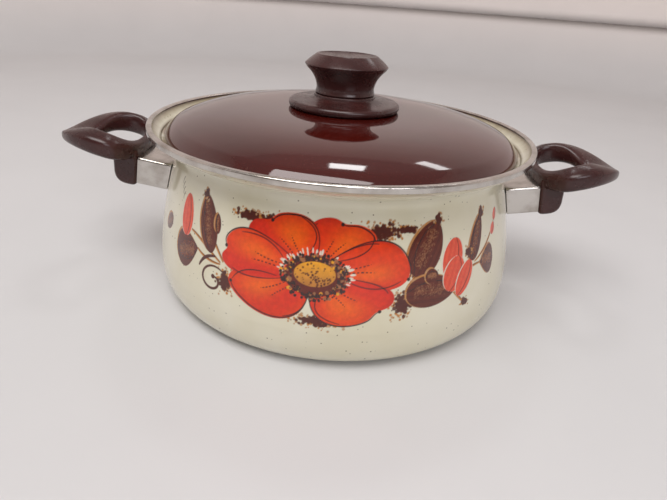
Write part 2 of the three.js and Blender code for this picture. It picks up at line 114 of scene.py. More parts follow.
def noise(tree, place, size_mm, detail=2.0, roughness=0.5):
    """Noise whose features are about size_mm across."""
    settings = {"Vector": place, "Scale": 1 / (size_mm * MM), "Detail": detail, "Roughness": roughness}
    return add_node(tree, "ShaderNodeTexNoise", inputs=settings).outputs["Fac"]


def remap(tree, value, low, high, to_low=0.0, to_high=1.0, smooth=False):
    """A value's range from low to high, stretched to a new range and clamped."""
    kind = "SMOOTHSTEP" if smooth else "LINEAR"
    inputs = {"Value": value, "From Min": low, "From Max": high, "To Min": to_low, "To Max": to_high}
    return add_node(tree, "ShaderNodeMapRange", {"interpolation_type": kind}, inputs).outputs["Result"]


def mix(tree, factor, first, second):
    """Two colours mixed by a factor."""
    node = add_node(tree, "ShaderNodeMix", {"data_type": "RGBA"}, {0: factor})
    for socket, value in ((6, first), (7, second)):
        if isinstance(value, bpy.types.NodeSocket):
            tree.links.new(value, node.inputs[socket])
        else:
            node.inputs[socket].default_value = value
    return node.outputs[2]


def maths(tree, operation, first, second=0.0):
    """One sum of two values."""
    node = add_node(tree, "ShaderNodeMath", {"operation": operation}, {0: first, 1: second})
    return node.outputs[0]


def bump(tree, height, depth_mm, strength=1.0, below=None):
    """A bump of a real depth, from a height between 0 and 1."""
    inputs = {"Height": height, "Distance": depth_mm * MM, "Strength": strength}
    if below is not None:
        inputs["Normal"] = below
    return add_node(tree, "ShaderNodeBump", inputs=inputs).outputs["Normal"]


def link(tree, output, node, socket):
    tree.links.new(output, node.inputs[socket])


print("helpers ready")

# %% [markdown]
# ## Camera
# The lens and the place were fitted together, so that the rim, the lid and the base keep their true
# proportions to each other. A hand-held camera is never quite level, so it also leans a few degrees.

# %% Camera
CAMERA_PLACE = Vector((0.0, -0.3236, 0.1792))
CAMERA_PITCH = 0.472
CAMERA_LEAN = 0.072
CAMERA_LENS = 26.83
SENSOR = 36.0

forward = Vector((0, math.cos(CAMERA_PITCH), -math.sin(CAMERA_PITCH)))
level_right = Vector((1, 0, 0))
level_up = level_right.cross(forward)
right = level_right * math.cos(CAMERA_LEAN) + level_up * math.sin(CAMERA_LEAN)
up = level_up * math.cos(CAMERA_LEAN) - level_right * math.sin(CAMERA_LEAN)

camera = bpy.data.objects.new("camera", bpy.data.cameras.new("camera"))
camera.data.lens = CAMERA_LENS
camera.data.sensor_width = SENSOR
camera.data.clip_start = 0.01
camera_turn = Matrix((right, up, -forward)).transposed().to_4x4()
camera.matrix_world = Matrix.Translation(CAMERA_PLACE) @ camera_turn
bpy.context.scene.collection.objects.link(camera)
bpy.context.scene.camera = camera
print("camera at", tuple(CAMERA_PLACE))

# %% [markdown]
# ## Making a piece
# A turned outline suits most of the casserole: draw half of the section, then spin it round the
# axis. The spin leaves double points where it meets itself and on the axis, so they are merged, and
# the normals are worked out again before anything else happens to the piece.

# %% Piece helpers
def between(a, b, c, t):
    """A value on the bend from a to c that b pulls on, at a share t of the way."""
    return a * (1 - t) ** 2 + 2 * b * t * (1 - t) + c * t * t


def curve(start, control, end, steps):
    """Points on a bend from start to end, with both ends left out."""
    shares = [step / steps for step in range(1, steps)]
    return [tuple(between(a, b, c, t) for a, b, c in zip(start, control, end)) for t in shares]


def arc(centre, radius, start, end, steps):
    """Points on a round arc, angles in degrees, with both ends."""
    angles = [math.radians(start + (end - start) * step / steps) for step in range(steps + 1)]
    return [(centre[0] + radius * math.cos(a), centre[1] + radius * math.sin(a)) for a in angles]


def spread(start, end, steps):
    """Equal steps from start to end, with both ends."""
    return [start + (end - start) * step / steps for step in range(steps + 1)]


def softened(outline, radius, steps=3):
    """A closed outline with each corner cut back and rounded."""
    points = []
    following = outline[1:] + outline[:1]
    for i, corner in enumerate(outline):
        here, before, after = Vector(corner), Vector(outline[i - 1]), Vector(following[i])
        cut = min(radius, (before - here).length * 0.45, (after - here).length * 0.45)
        start = here + (before - here).normalized() * cut
        end = here + (after - here).normalized() * cut
        points += [tuple(start), *curve(start, here, end, steps), tuple(end)]
    return points


def add_piece(name, mesh, material, body, node=None, sharp=40):
    """Turns a bmesh into an object that rides on a body and stands for a frame part."""
    data = bpy.data.meshes.new(name)
    mesh.to_mesh(data)
    mesh.free()
    data.shade_smooth()
    data.set_sharp_from_angle(angle=math.radians(sharp))
    piece = bpy.data.objects.new(name, data)
    bpy.context.scene.collection.objects.link(piece)
    data.materials.append(material)
    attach(piece, body)
    if node:
        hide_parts(node)
    triangles = sum(len(face.vertices) - 2 for face in data.polygons)
    print(f"{name}: {triangles} triangles")
    return piece


def turned(outline, steps, closed=True, place=None, sweep=math.tau):
    """A bmesh turned about Z from (radius, height) points in millimetres."""
    mesh = bmesh.new()
    points = [mesh.verts.new((radius * MM, 0, height * MM)) for radius, height in outline]
    following = points[1:] + points[:1] if closed else points[1:]
    edges = [mesh.edges.new(pair) for pair in zip(points, following)]
    whole = sweep >= math.tau
    bmesh.ops.spin(
        mesh, geom=points + edges, cent=(0, 0, 0), axis=(0, 0, 1), dvec=(0, 0, 0),
        angle=sweep, steps=steps, use_merge=whole, use_duplicate=False,
    )
    bmesh.ops.remove_doubles(mesh, verts=mesh.verts[:], dist=MM / 500)
    if place is not None:
        bmesh.ops.transform(mesh, matrix=place, verts=mesh.verts[:])
    bmesh.ops.recalc_face_normals(mesh, faces=mesh.faces[:])
    return mesh


print("piece helpers ready")

# %% [markdown]
# ## Vitreous enamel
# Enamel is ground glass melted onto steel at about 800 degrees. It gives a hard, wet-looking gloss
# over an even colour, with a faint orange-peel ripple a few millimetres across. Cream enamel of this
# age also shows dark specks of scale, thickest along the flare, and a brown tide line where the steel
# band traps food. The step and ledge under the lid's edge get a blotchy brown painted shade. The base
# colour and the specks come from object coordinates, so the printed panels that lie on the pot share
# the same pattern without a seam.

# %% Enamel materials
CREAM, CREAM_WARM = linear("#dcd8c4"), linear("#d4ceb4")
SPECK = linear("#4a3b2c")
TIDE = linear("#8d7a58")
# The ledge colour is painted shade for the gap under the lid's edge.
LEDGE_PAINTED_SHADE = linear("#7d5c38")
SPECK_CELL_MM = 2.6
SPECK_RADIUS = 0.125


def cream_colour(tree, place):
    """Cream enamel with mottling, specks, the tide line under the band and painted shade on the ledge."""
    height = add_node(tree, "ShaderNodeSeparateXYZ", inputs={0: place}).outputs["Z"]
    mottle = remap(tree, noise(tree, place, 38, 3), 0.35, 0.65)
    base = mix(tree, mottle, CREAM, CREAM_WARM)
    to_flare = remap(tree, height, (POT_HEIGHT - 17) * MM, (POT_HEIGHT - 7) * MM)
    cells = add_node(
        tree, "ShaderNodeTexVoronoi", {"feature": "F1"},
        {"Vector": place, "Scale": 1 / (SPECK_CELL_MM * MM), "Randomness": 1.0},
    )
    chance = add_node(tree, "ShaderNodeSeparateColor", inputs={0: cells.outputs["Color"]}).outputs["Red"]
    wanted = maths(tree, "GREATER_THAN", chance, remap(tree, to_flare, 0, 1, 0.80, 0.42))
    size = remap(tree, chance, 0.4, 1.0, SPECK_RADIUS * 0.7, SPECK_RADIUS * 1.5)
    near = maths(tree, "SUBTRACT", size, cells.outputs["Distance"])
    speck = maths(tree, "MULTIPLY", wanted, remap(tree, near, -0.02, 0.06))
    faint = maths(tree, "MULTIPLY", speck, 0.75)
    flecked = mix(tree, faint, base, SPECK)
    ripple = maths(tree, "MULTIPLY", noise(tree, place, 9, 4), 2.4 * MM)
    edge = maths(tree, "ADD", height, ripple)
    tide = remap(tree, edge, (POT_HEIGHT - 4.6) * MM, (POT_HEIGHT - 1.2) * MM, 0.0, 0.75)
    banded = mix(tree, tide, flecked, TIDE)
    flat = add_node(tree, "ShaderNodeVectorMath", {"operation": "MULTIPLY"}, {0: place, 1: (1, 1, 0)})
    radius = add_node(tree, "ShaderNodeVectorMath", {"operation": "LENGTH"}, {0: flat.outputs[0]})
    # Painted shade: a blotchy brown on the step and ledge just under the lid's edge, where the lid shades
    # the inside.
    within = remap(tree, radius.outputs["Value"], (RIM_RADIUS - 6.4) * MM, (RIM_RADIUS - 8.4) * MM)
    low = remap(tree, height, (POT_HEIGHT - 10.5) * MM, (POT_HEIGHT - 7.8) * MM)
    high = remap(tree, height, (POT_HEIGHT - 3.8) * MM, (POT_HEIGHT - 6.6) * MM)
    blotch = remap(tree, noise(tree, place, 26, 5), 0.40, 0.62, 0.10, 0.75)
    on_ledge = maths(tree, "MULTIPLY", low, high)
    steel_stain_and_ledge_shade = maths(tree, "MULTIPLY", maths(tree, "MULTIPLY", within, blotch), on_ledge)
    return mix(tree, steel_stain_and_ledge_shade, banded, LEDGE_PAINTED_SHADE)


def enamel_gloss(tree, shader, place, roughness, peel_mm=0.02):
    """The glassy skin: low roughness with faint smears and an orange-peel ripple."""
    smear = remap(tree, noise(tree, place, 22, 4), 0.3, 0.7, roughness * 0.8, roughness * 1.5)
    link(tree, smear, shader, "Roughness")
    shader.inputs["IOR"].default_value = 1.52
    shader.inputs["Coat Weight"].default_value = 0.35
    shader.inputs["Coat Roughness"].default_value = 0.06
    peel = bump(tree, noise(tree, place, 5, 1), peel_mm)
    link(tree, peel, shader, "Normal")


def cream_enamel():
    material, tree, shader, place = new_material("cream_vitreous_enamel")
    link(tree, cream_colour(tree, place), shader, "Base Color")
    enamel_gloss(tree, shader, place, 0.14)
    return material


def printed_enamel():
    """The same enamel with the ceramic print that each panel carries in its colour attribute."""
    material, tree, shader, place = new_material("printed_vitreous_enamel")
    paint = add_node(tree, "ShaderNodeAttribute", {"attribute_name": "print"})
    grain = remap(tree, noise(tree, place, 2.2, 3), 0.35, 0.65, 0.90, 1.06)
    tone = add_node(
        tree, "ShaderNodeHueSaturation", inputs={"Color": paint.outputs["Color"], "Value": grain},
    ).outputs["Color"]
    colour = mix(tree, paint.outputs["Alpha"], cream_colour(tree, place), tone)
    link(tree, colour, shader, "Base Color")
    enamel_gloss(tree, shader, place, 0.14)
    return material


def maroon_enamel():
    """The lid's enamel, with the fine wipe marks and dust that a dark gloss shows."""
    material, tree, shader, place = new_material("maroon_vitreous_enamel")
    cloud = remap(tree, noise(tree, place, 45, 3), 0.35, 0.65)
    base = mix(tree, cloud, linear("#48120d"), linear("#3c0f0b"))
    dust = remap(tree, noise(tree, place, 1.1, 2), 0.66, 0.74, 0.0, 0.16)
    link(tree, mix(tree, dust, base, linear("#8a6a60")), shader, "Base Color")
    enamel_gloss(tree, shader, place, 0.05, 0.008)
    return material


CREAM_ENAMEL, PRINTED_ENAMEL, MAROON_ENAMEL = cream_enamel(), printed_enamel(), maroon_enamel()
print("enamels:", CREAM_ENAMEL.name, PRINTED_ENAMEL.name, MAROON_ENAMEL.name)

# %% [markdown]
# ## Phenolic, steel, brass and fibre
# The knob and handles are phenolic resin, a hard plastic moulded hot in steel tools. It is brown all
# through, slightly clouded, and glossy where the tool was polished. The trim is polished stainless
# steel: nearly mirror bright, with hairline scratches from scouring. Real scratches are too fine to show
# in a render, so they are drawn about 0.5 mm apart. The brackets and screws are zinc plated.

# %% Resin and metal materials
def brown_phenolic():
    material, tree, shader, place = new_material("brown_phenolic_resin")
    cloud = remap(tree, noise(tree, place, 24, 4), 0.38, 0.62)
    base = mix(tree, cloud, linear("#351a19"), linear("#40211f"))
    fleck = remap(tree, noise(tree, place, 0.9, 2), 0.64, 0.74, 0.0, 0.16)
    link(tree, mix(tree, fleck, base, linear("#5d3d38")), shader, "Base Color")
    wear = remap(tree, noise(tree, place, 8, 4), 0.3, 0.7, 0.20, 0.32)
    link(tree, wear, shader, "Roughness")
    shader.inputs["IOR"].default_value = 1.5
    ripple = bump(tree, noise(tree, place, 14, 1), 0.05)
    grain = bump(tree, noise(tree, place, 0.8, 2), 0.003, below=ripple)
    link(tree, grain, shader, "Normal")
    return material


def hairlines(tree, place, along, spacing_mm, turn=0.0):
    """Long scratches along one axis, spacing_mm apart."""
    scale = [1.0 / spacing_mm / MM] * 3
    scale[along] /= 40
    mapped = add_node(tree, "ShaderNodeVectorMath", {"operation": "MULTIPLY"}, {0: place, 1: scale})
    turned_place = add_node(
        tree, "ShaderNodeVectorRotate", {"rotation_type": "AXIS_ANGLE"},
        {"Vector": mapped.outputs[0], "Angle": turn},
    )
    settings = {"Vector": turned_place.outputs[0], "Scale": 1.0, "Detail": 2.0}
    return add_node(tree, "ShaderNodeTexNoise", inputs=settings).outputs["Fac"]


def polished_stainless():
    material, tree, shader, place = new_material("polished_stainless_steel")
    shader.inputs["Metallic"].default_value = 1.0
    steel_stain_and_ledge_shade = remap(tree, noise(tree, place, 12, 4), 0.45, 0.75)
    link(tree, mix(tree, steel_stain_and_ledge_shade, linear("#cdc8c2"), linear("#a39b92")), shader, "Base Color")
    scratch = remap(tree, hairlines(tree, place, 0, 0.5), 0.55, 0.75)
    smear = remap(tree, noise(tree, place, 9, 4), 0.3, 0.7, 0.10, 0.24)
    link(tree, maths(tree, "ADD", smear, maths(tree, "MULTIPLY", scratch, 0.10)), shader, "Roughness")
    waves = bump(tree, noise(tree, place, 16, 1), 0.10)
    link(tree, bump(tree, scratch, 0.01, below=waves), shader, "Normal")
    return material


def zinc_plate():
    material, tree, shader, place = new_material("zinc_plated_steel")
    shader.inputs["Metallic"].default_value = 1.0
    spangle = add_node(
        tree, "ShaderNodeTexVoronoi", inputs={"Vector": place, "Scale": 1 / (1.5 * MM)},
    ).outputs["Color"]
    tone = remap(tree, spangle, 0, 1)
    link(tree, mix(tree, tone, linear("#b3b2ab"), linear("#8f8f8a")), shader, "Base Color")
    link(tree, remap(tree, noise(tree, place, 3, 3), 0.3, 0.7, 0.32, 0.5), shader, "Roughness")
    link(tree, bump(tree, tone, 0.01), shader, "Normal")
    return material


def turned_brass():
    material, tree, shader, place = new_material("turned_brass")
    shader.inputs["Metallic"].default_value = 1.0
    tarnish = remap(tree, noise(tree, place, 4, 4), 0.4, 0.7)
    link(tree, mix(tree, tarnish, linear("#b58d3d"), linear("#7d5f2a")), shader, "Base Color")
    shader.inputs["Roughness"].default_value = 0.35
    link(tree, bump(tree, hairlines(tree, place, 0, 0.4), 0.01), shader, "Normal")
    return material


def red_fibre():
    material, tree, shader, place = new_material("vulcanised_fibre")
    felt = remap(tree, noise(tree, place, 0.7, 4), 0.3, 0.7)
    link(tree, mix(tree, felt, linear("#7a2f22"), linear("#5c2018")), shader, "Base Color")
    shader.inputs["Roughness"].default_value = 0.8
    link(tree, bump(tree, felt, 0.05), shader, "Normal")
    return material


PHENOLIC, STAINLESS, ZINC = brown_phenolic(), polished_stainless(), zinc_plate()
BRASS, FIBRE = turned_brass(), red_fibre()
print("resin and metals:", PHENOLIC.name, STAINLESS.name, ZINC.name, BRASS.name, FIBRE.name)

# %% [markdown]
# ## The pot
# A press draws a disc of steel into a round body: a flat base, a tight curve up to the belly, a wall
# that leans in to a neck, and a flare with a ledge that the lid rests on. One turned outline gives
# all of that. The outline runs up the outside, over the edge and down the inside.

# %% Pot body
BODY_STEPS = 176
WALL = 1.6
REST_GAP = 0.3
BAND_WALL = 0.6
LEDGE_DROP = 7.6
NECK_DROP = 13.9
BELLY_HEIGHT = 25.3
LEDGE_INSET, NECK_INSET, BELLY_SWELL, BASE_INSET = 8.1, 7.7, 15.3, 20.9
LEDGE_FALL = 1.6
LEDGE_RADIUS = RIM_RADIUS - LEDGE_INSET
NECK_RADIUS = LEDGE_RADIUS - NECK_INSET - WALL
NECK_HEIGHT = POT_HEIGHT - NECK_DROP
BELLY_RADIUS = NECK_RADIUS + BELLY_SWELL
BASE_RADIUS = BELLY_RADIUS - BASE_INSET
CORNER_POWER = 2.8
LEAN_POWER = 1.5
NECK_BLEND = 6


def wall_radius(height):
    """The outside radius of the pot between the base and the neck."""
    if height <= BELLY_HEIGHT:
        down = (BELLY_HEIGHT - height) / BELLY_HEIGHT
        out = (1 - down ** CORNER_POWER) ** (1 / CORNER_POWER)
        return BASE_RADIUS + (BELLY_RADIUS - BASE_RADIUS) * out
    lean = (height - BELLY_HEIGHT) / (NECK_HEIGHT - BELLY_HEIGHT)
    return BELLY_RADIUS - (BELLY_RADIUS - NECK_RADIUS) * lean ** LEAN_POWER


def wall_outline(offset, steps):
    """The wall from the base corner to just below the neck, moved out by an offset."""
    points = []
    for angle in spread(0, math.pi / 2, steps):
        height = BELLY_HEIGHT * (1 - abs(math.cos(angle)) ** (2 / CORNER_POWER))
        points.append((wall_radius(height) + offset, max(height - offset, -offset)))
    for height in spread(BELLY_HEIGHT, NECK_HEIGHT - NECK_BLEND, steps)[1:]:
        points.append((wall_radius(height) + offset, height))
    return points


def pot_outline():
    """Half of the pot's section: up the outside, over the edge and down the inside."""
    ledge_top = POT_HEIGHT - LEDGE_DROP
    edge = RIM_RADIUS - BAND_WALL - REST_GAP
    edge_top = POT_HEIGHT - BAND_WALL - REST_GAP
    outer, inner = wall_outline(0, 22), wall_outline(-WALL, 22)[::-1]
    flare_root = (NECK_RADIUS + 4, ledge_top - LEDGE_FALL - WALL)
    flare_top = (edge, POT_HEIGHT - 3.7)
    edge_inner = (edge - WALL, edge_top)
    step_top = (LEDGE_RADIUS + 0.4, ledge_top + 1.2)
    step_foot = (LEDGE_RADIUS - 0.3, ledge_top)
    ledge_inner = (NECK_RADIUS + WALL, ledge_top - LEDGE_FALL)
    ledge_width = ledge_inner[0] - step_foot[0]
    ledge = [(step_foot[0] + ledge_width * t, step_foot[1] - LEDGE_FALL * t) for t in (0.33, 0.66)]
    return [
        (0, 0), *outer,
        *curve(outer[-1], (NECK_RADIUS - 1, NECK_HEIGHT + 1), flare_root, 12), flare_root,
        *curve(flare_root, (LEDGE_RADIUS + 2, ledge_top - WALL), flare_top, 10), flare_top,
        (edge, edge_top - 0.4), (edge - 0.4, edge_top), (edge_inner[0] + 0.4, edge_top), edge_inner,
        *curve(edge_inner, (edge_inner[0] - 1, edge_top - 3), step_top, 10), step_top,
        *curve(step_top, (LEDGE_RADIUS, ledge_top), step_foot, 4), step_foot,
        *ledge, ledge_inner,
        *curve(ledge_inner, (NECK_RADIUS - WALL - 1, NECK_HEIGHT + 1), inner[0], 10),
        *inner, (0, WALL),
    ]


add_piece(
    "pot_shell", turned(pot_outline(), BODY_STEPS, closed=False), CREAM_ENAMEL, "pot", "pot_body",
    sharp=50,
)

# %% [markdown]
# ## The printed spray
# The decoration is a ceramic print: coloured glass ink is screened onto a transfer, slid onto the pot
# and fired into the enamel. It can't be felt. Image textures are left out here, so the print is drawn by
# formulas: each point of a fine panel gets a colour and a cover in an attribute, which the printed
# enamel reads. The drawing is a plain garden spray, with petals set round an eye, leaves, buds and pen
# lines. It is laid out flat, u millimetres round the wall and v millimetres up it.

# %% Ink and brush
PRINT_RADIUS = 115.0
INK = linear("#341611")
BROWN, BROWN_WARM, BROWN_LIGHT = linear("#4d180b"), linear("#632411"), linear("#94603c")
OCHRE, TAN = linear("#b5742a"), linear("#b48c66")
ORANGE, RED, DEEP, GLOW = linear("#dd3b04"), linear("#d0230a"), linear("#b61c08"), linear("#e86009")
CORAL, CORAL_DEEP = linear("#dd5636"), linear("#d3402a")
YELLOW, CHALK = linear("#e09a1e"), linear("#dcd8c6")
SOFT_EDGE = 0.35


def blended(first, second, share):
    """Two inks mixed by a share between 0 and 1 for each point."""
    return np.asarray(first)[..., :3] * (1 - share) + np.asarray(second)[..., :3] * share


def lay(paint, where, amount, colour):
    """Lays ink over some points. The amount is 0 for none and 1 for full cover."""
    colour = np.atleast_2d(np.asarray(colour)[..., :3])
    below = paint["cover"][where] * (1 - amount)
    total = amount + below
    safe = np.maximum(total, 1e-6)[:, None]
    paint["colour"][where] = (colour * amount[:, None] + paint["colour"][where] * below[:, None]) / safe
    paint["cover"][where] = total


def inked(inside):
    """Cover from a distance inside an edge, in millimetres."""
    return np.clip(inside / SOFT_EDGE + 0.5, 0, 1)


def around(paint, low, high):
    """The points inside a box of (u, v)."""
    u, v = paint["u"], paint["v"]
    return np.nonzero((u > low[0]) & (u < high[0]) & (v > low[1]) & (v < high[1]))[0]


def flat_places(paint, where):
    """The (u, v) of some points, one row each."""
    return np.stack([paint["u"][where], paint["v"][where]], 1)


def dot(paint, u, v, radius, colour, strength=1.0):
    margin = radius + SOFT_EDGE
    where = around(paint, (u - margin, v - margin), (u + margin, v + margin))
    distance = np.hypot(paint["u"][where] - u, paint["v"][where] - v)
    lay(paint, where, inked(radius - distance) * strength, colour)


def bow(*controls, steps=18):
    """Points on a smooth curve with any number of controls."""
    order = len(controls) - 1
    shares = np.linspace(0, 1, steps + 1)[:, None]
    weights = [math.comb(order, k) * shares ** k * (1 - shares) ** (order - k) for k in range(order + 1)]
    return sum(weight * np.array(control) for weight, control in zip(weights, controls))


def pen(paint, points, width, colour=INK, blob=0.0, dashes=0):
    """A pen line that swells in its middle. It may end in a blob or be broken into dashes."""
    points = np.asarray(points, dtype=float)
    margin = width + blob + SOFT_EDGE
    where = around(paint, points.min(0) - margin, points.max(0) + margin)
    if not len(where):
        return
    at = flat_places(paint, where)[:, None]
    start, step = points[:-1][None], np.diff(points, axis=0)[None]
    share = np.clip(((at - start) * step).sum(2) / np.maximum((step ** 2).sum(2), 1e-9), 0, 1)
    distance = np.linalg.norm(at - start - share[..., None] * step, axis=2)
    nearest = distance.argmin(1)
    rows = np.arange(len(where))
    along = (nearest + share[rows, nearest]) / step.shape[1]
    half = width / 2 * (0.45 + 0.55 * np.sin(np.pi * np.clip(along, 0.02, 0.98)) ** 0.5)
    amount = inked(half - distance[rows, nearest])
    if dashes:
        amount = amount * (np.sin(along * dashes * 2 * np.pi) > -0.1)
    lay(paint, where, amount, colour)
    if blob:
        dot(paint, *points[-1], blob, colour)


def brush(paint, base, tip, width, colours, belly=0.8, fullness=0.7, seed=0.0):
    """A leaf, bud or petal laid from its base to its tip in two mixed colours."""
    base, tip = np.array(base, dtype=float), np.array(tip, dtype=float)
    length = np.linalg.norm(tip - base)
    ahead = (tip - base) / length
    where = around(paint, np.minimum(base, tip) - width, np.maximum(base, tip) + width)
    at = flat_places(paint, where) - base
    along, across = at @ ahead / length, at @ np.array([-ahead[1], ahead[0]])
    share = np.clip(along, 0, 1)
    half = width / 2 * np.sin(np.pi * share ** belly) ** fullness
    inside = np.where((along > 0) & (along < 1), half - np.abs(across), -1)
    streak = 0.5 + 0.3 * np.sin(across * 1.9 + seed) + 0.2 * np.sin(across * 5.1 + along * 7 + seed * 3)
    tone = np.clip(streak, 0, 1)[:, None]
    lay(paint, where, inked(inside), blended(*colours, tone))


print("brushes ready")

# %% [markdown]
# ### Leaves, buds and clumps
# A leaf is laid twice, first in ochre and a little off register as a cheap print is, then in brown. A
# stipple of light dots marks its rib. The clumps behind the petals are only dabs of a sponge.

# %% Leaves and clumps
def leaf(paint, base, tip, width, belly=0.8, seed=0.0):
    base, tip = np.array(base, dtype=float), np.array(tip, dtype=float)
    off = np.array((-0.9, 0.5))
    brush(paint, base + off, tip + off, width + 0.8, (OCHRE, TAN), belly, 0.52, seed)
    brush(paint, base, tip, width, (BROWN, BROWN_WARM), belly, 0.52, seed)
    chance = random.Random(seed)
    side = np.array((base[1] - tip[1], tip[0] - base[0])) / np.linalg.norm(tip - base)
    for _ in range(int(width * 16)):
        share = chance.uniform(0.15, 0.85)
        place = base + (tip - base) * share + side * chance.gauss(0.04, 0.09) * width
        dot(paint, *place, chance.uniform(0.14, 0.36), BROWN_LIGHT, 0.6)
    control = (base + tip) / 2 + side * width * 0.62
    pen(paint, bow(base, control, tip), 0.5)


def clump(paint, centre, size, count, seed):
    """Small dabs of light ink, then of brown, thickest in the middle."""
    chance = random.Random(seed)
    for _ in range(count * 2):
        place = [chance.gauss(middle, width) for middle, width in zip(centre, size)]
        dot(paint, *place, chance.uniform(0.3, 0.8), OCHRE if chance.random() < 0.6 else TAN, 0.95)
    for _ in range(count * 2):
        place = [chance.gauss(middle, width * 0.62) for middle, width in zip(centre, size)]
        dot(paint, *place, chance.uniform(0.4, 1.2), BROWN, 0.95)


CLUMPS = [
    ((-46, 80), (5.5, 1.6), 60), ((-35, 78), (4.0, 2.6), 60), ((-57, 43), (2.6, 3.2), 60),
    ((26, 79), (5.5, 2.4), 80), ((40, 79.5), (4.6, 0.9), 34), ((-6, 33), (7.0, 2.0), 70),
    ((37, 42), (3.2, 3.6), 70), ((45, 56), (1.6, 2.6), 30),
]
LEAVES = [
    ((43.5, 56), (58, 82), 19.5, 0.85), ((39, 47.5), (70, 46), 17.5, 0.80), ((50, 54.5), (58, 55), 8, 0.9),
    ((83, 57), (93, 80), 10, 0.75), ((91, 54), (106, 53), 17, 1.7),
    ((-69, 55), (-79, 83), 13.5, 0.95), ((-80, 54), (-101, 47), 21, 1.5), ((-113, 60), (-122, 52), 9, 0.9),
    ((-66, 66), (-68, 76), 4.5, 0.9),
]
BUDS = [
    ((-92.5, 57), (-96.5, 79), 12, 0.9), ((65, 50), (71, 72), 14, 1.1), ((66, 44), (73, 62), 15, 0.9),
    ((72, 40), (82, 58), 10.5, 1.0), ((105, 66), (109, 72), 5, 0.9), ((109, 73), (113, 79), 4.5, 0.9),
]
STEMS = [
    ((-62, 52), (-70, 56), (-82, 62), (-90, 62)), ((-62, 51), (-72, 50), (-80, 54)),
    ((-60, 53), (-66, 60), (-70, 64)), ((78, 52), (84, 55), (91, 54)), ((80, 52), (86, 62), (86, 66)),
    ((86, 56), (98, 60), (110, 74)), ((40, 52), (45, 56), (46, 62)), ((68, 44), (74, 38), (77, 35)),
]
TIPS = [(-80, 83.5), (58.5, 83), (94, 81), (78, 35), (80.5, 62.5)]


def draw_foliage(paint):
    for number, (centre, size, count) in enumerate(CLUMPS):
        clump(paint, centre, size, count, 40 + number)
    for number, stem in enumerate(STEMS):
        pen(paint, bow(*stem), 1.5, OCHRE)
        pen(paint, bow(*[(u + 0.4, v + 0.3) for u, v in stem]), 0.5, BROWN)
    for number, (base, tip, width, belly) in enumerate(LEAVES):
        leaf(paint, base, tip, width, belly, seed=number + 1.0)
    for number, (base, tip, width, belly) in enumerate(BUDS):
        brush(paint, base, tip, width + 1.3, (CHALK, CHALK), belly, 0.45)
        brush(paint, base, tip, width, (CORAL, CORAL_DEEP), belly, 0.45, seed=number * 2.0)
        middle = ((base[0] + tip[0]) / 2 + width * 0.55, (base[1] + tip[1]) / 2)
        pen(paint, bow(base, middle, tip), 0.5)
    for number, centre in enumerate(TIPS):
        clump(paint, centre, (1.3, 1.3), 22, 80 + number)
    for step in range(4):
        u, v = -103 - 1.6 * step, 74 + 2.4 * step
        pen(paint, bow((u, v), (u - 1.4, v + 2), (u + 0.6, v + 4)), 0.55)


def draw_curl(paint):
    """A tendril: a spiral that tightens towards its end."""
    turns = [(math.radians(50 + 12 * k), 10.5 - 0.24 * k) for k in range(34)]
    spiral = [(-66 + 0.95 * r * math.cos(a), 41 + 0.8 * r * math.sin(a)) for a, r in turns]
    pen(paint, spiral, 1.5, BROWN, 1.3)
    pen(paint, bow((-77, 46), (-74, 53), (-66, 54)), 1.9, BROWN)


print(len(LEAVES), "leaves,", len(BUDS), "buds,", len(CLUMPS), "clumps")

# %% [markdown]
# ### The flower
# Petals are easiest in round coordinates that are stretched to the flower's width and height: a petal
# is then a wedge with a rounded end, and later petals cover earlier ones. The eye is a yellow disc with
# a ring of beads, and pen lines follow the petals loosely, as a quick hand would draw them.

# %% Petals and eye
FLOWER = np.array((-10.5, 57.3))
FLOWER_SIZE = np.array((51.5, 29.8))
EYE = np.array((-8.5, 56.3))
PETALS = [  # angle, half-angle, length and depth of the notch
    (66, 36, 0.96, 0.06), (14, 41, 1.0, 0.0), (118, 38, 0.98, 0.07), (312, 44, 0.97, 0.06),
    (226, 44, 0.99, 0.0), (168, 39, 1.0, 0.06),
]


def stretched(paint, where, centre, size):
    """The places of some points as seen from a centre, where the size counts as 1 each way."""
    return (flat_places(paint, where) - centre) / size


def petal_edge(share, length, notch):
    """How far a petal reaches at a share of its half-angle."""
    edge = length * (1 - np.abs(share) ** 3.6) ** 0.46
    return edge * (1 - notch * np.exp(-((share - 0.1) / 0.16) ** 2))


def draw_petal(paint, angle, half, length, notch):
    """One petal: orange to red across its folds, darker at one edge and bright in the middle."""
    where = around(paint, FLOWER - FLOWER_SIZE * 1.05, FLOWER + FLOWER_SIZE * 1.05)
    flat = stretched(paint, where, FLOWER, FLOWER_SIZE)
    out, turn = np.hypot(*flat.T), np.degrees(np.arctan2(flat[:, 1], flat[:, 0]))
    share = ((turn - angle + 180) % 360 - 180) / half
    edge = petal_edge(np.clip(share, -1, 1), length, notch)
    inside = np.where(np.abs(share) < 1, edge - out, -1) * 34
    streak = 0.07 * np.sin(share * 19 + out * 5 + angle) + 0.04 * np.sin(share * 37 - out * 9)
    fold = 0.55 + 0.40 * np.sin(share * 3.1 + out * 2.2 + angle) + streak
    tone = np.clip(fold, 0, 1)[:, None]
    edge_shade = (0.55 * np.clip(1 - inside / 3.2, 0, 1) * (share > 0.2))[:, None]
    glow = np.exp(-((share + 0.24) / 0.36) ** 2 - ((out - 0.60) / 0.26) ** 2)[:, None] * 0.9
    colour = blended(blended(blended(ORANGE, RED, tone), DEEP, edge_shade), GLOW, glow)
    lay(paint, where, inked(inside), colour)


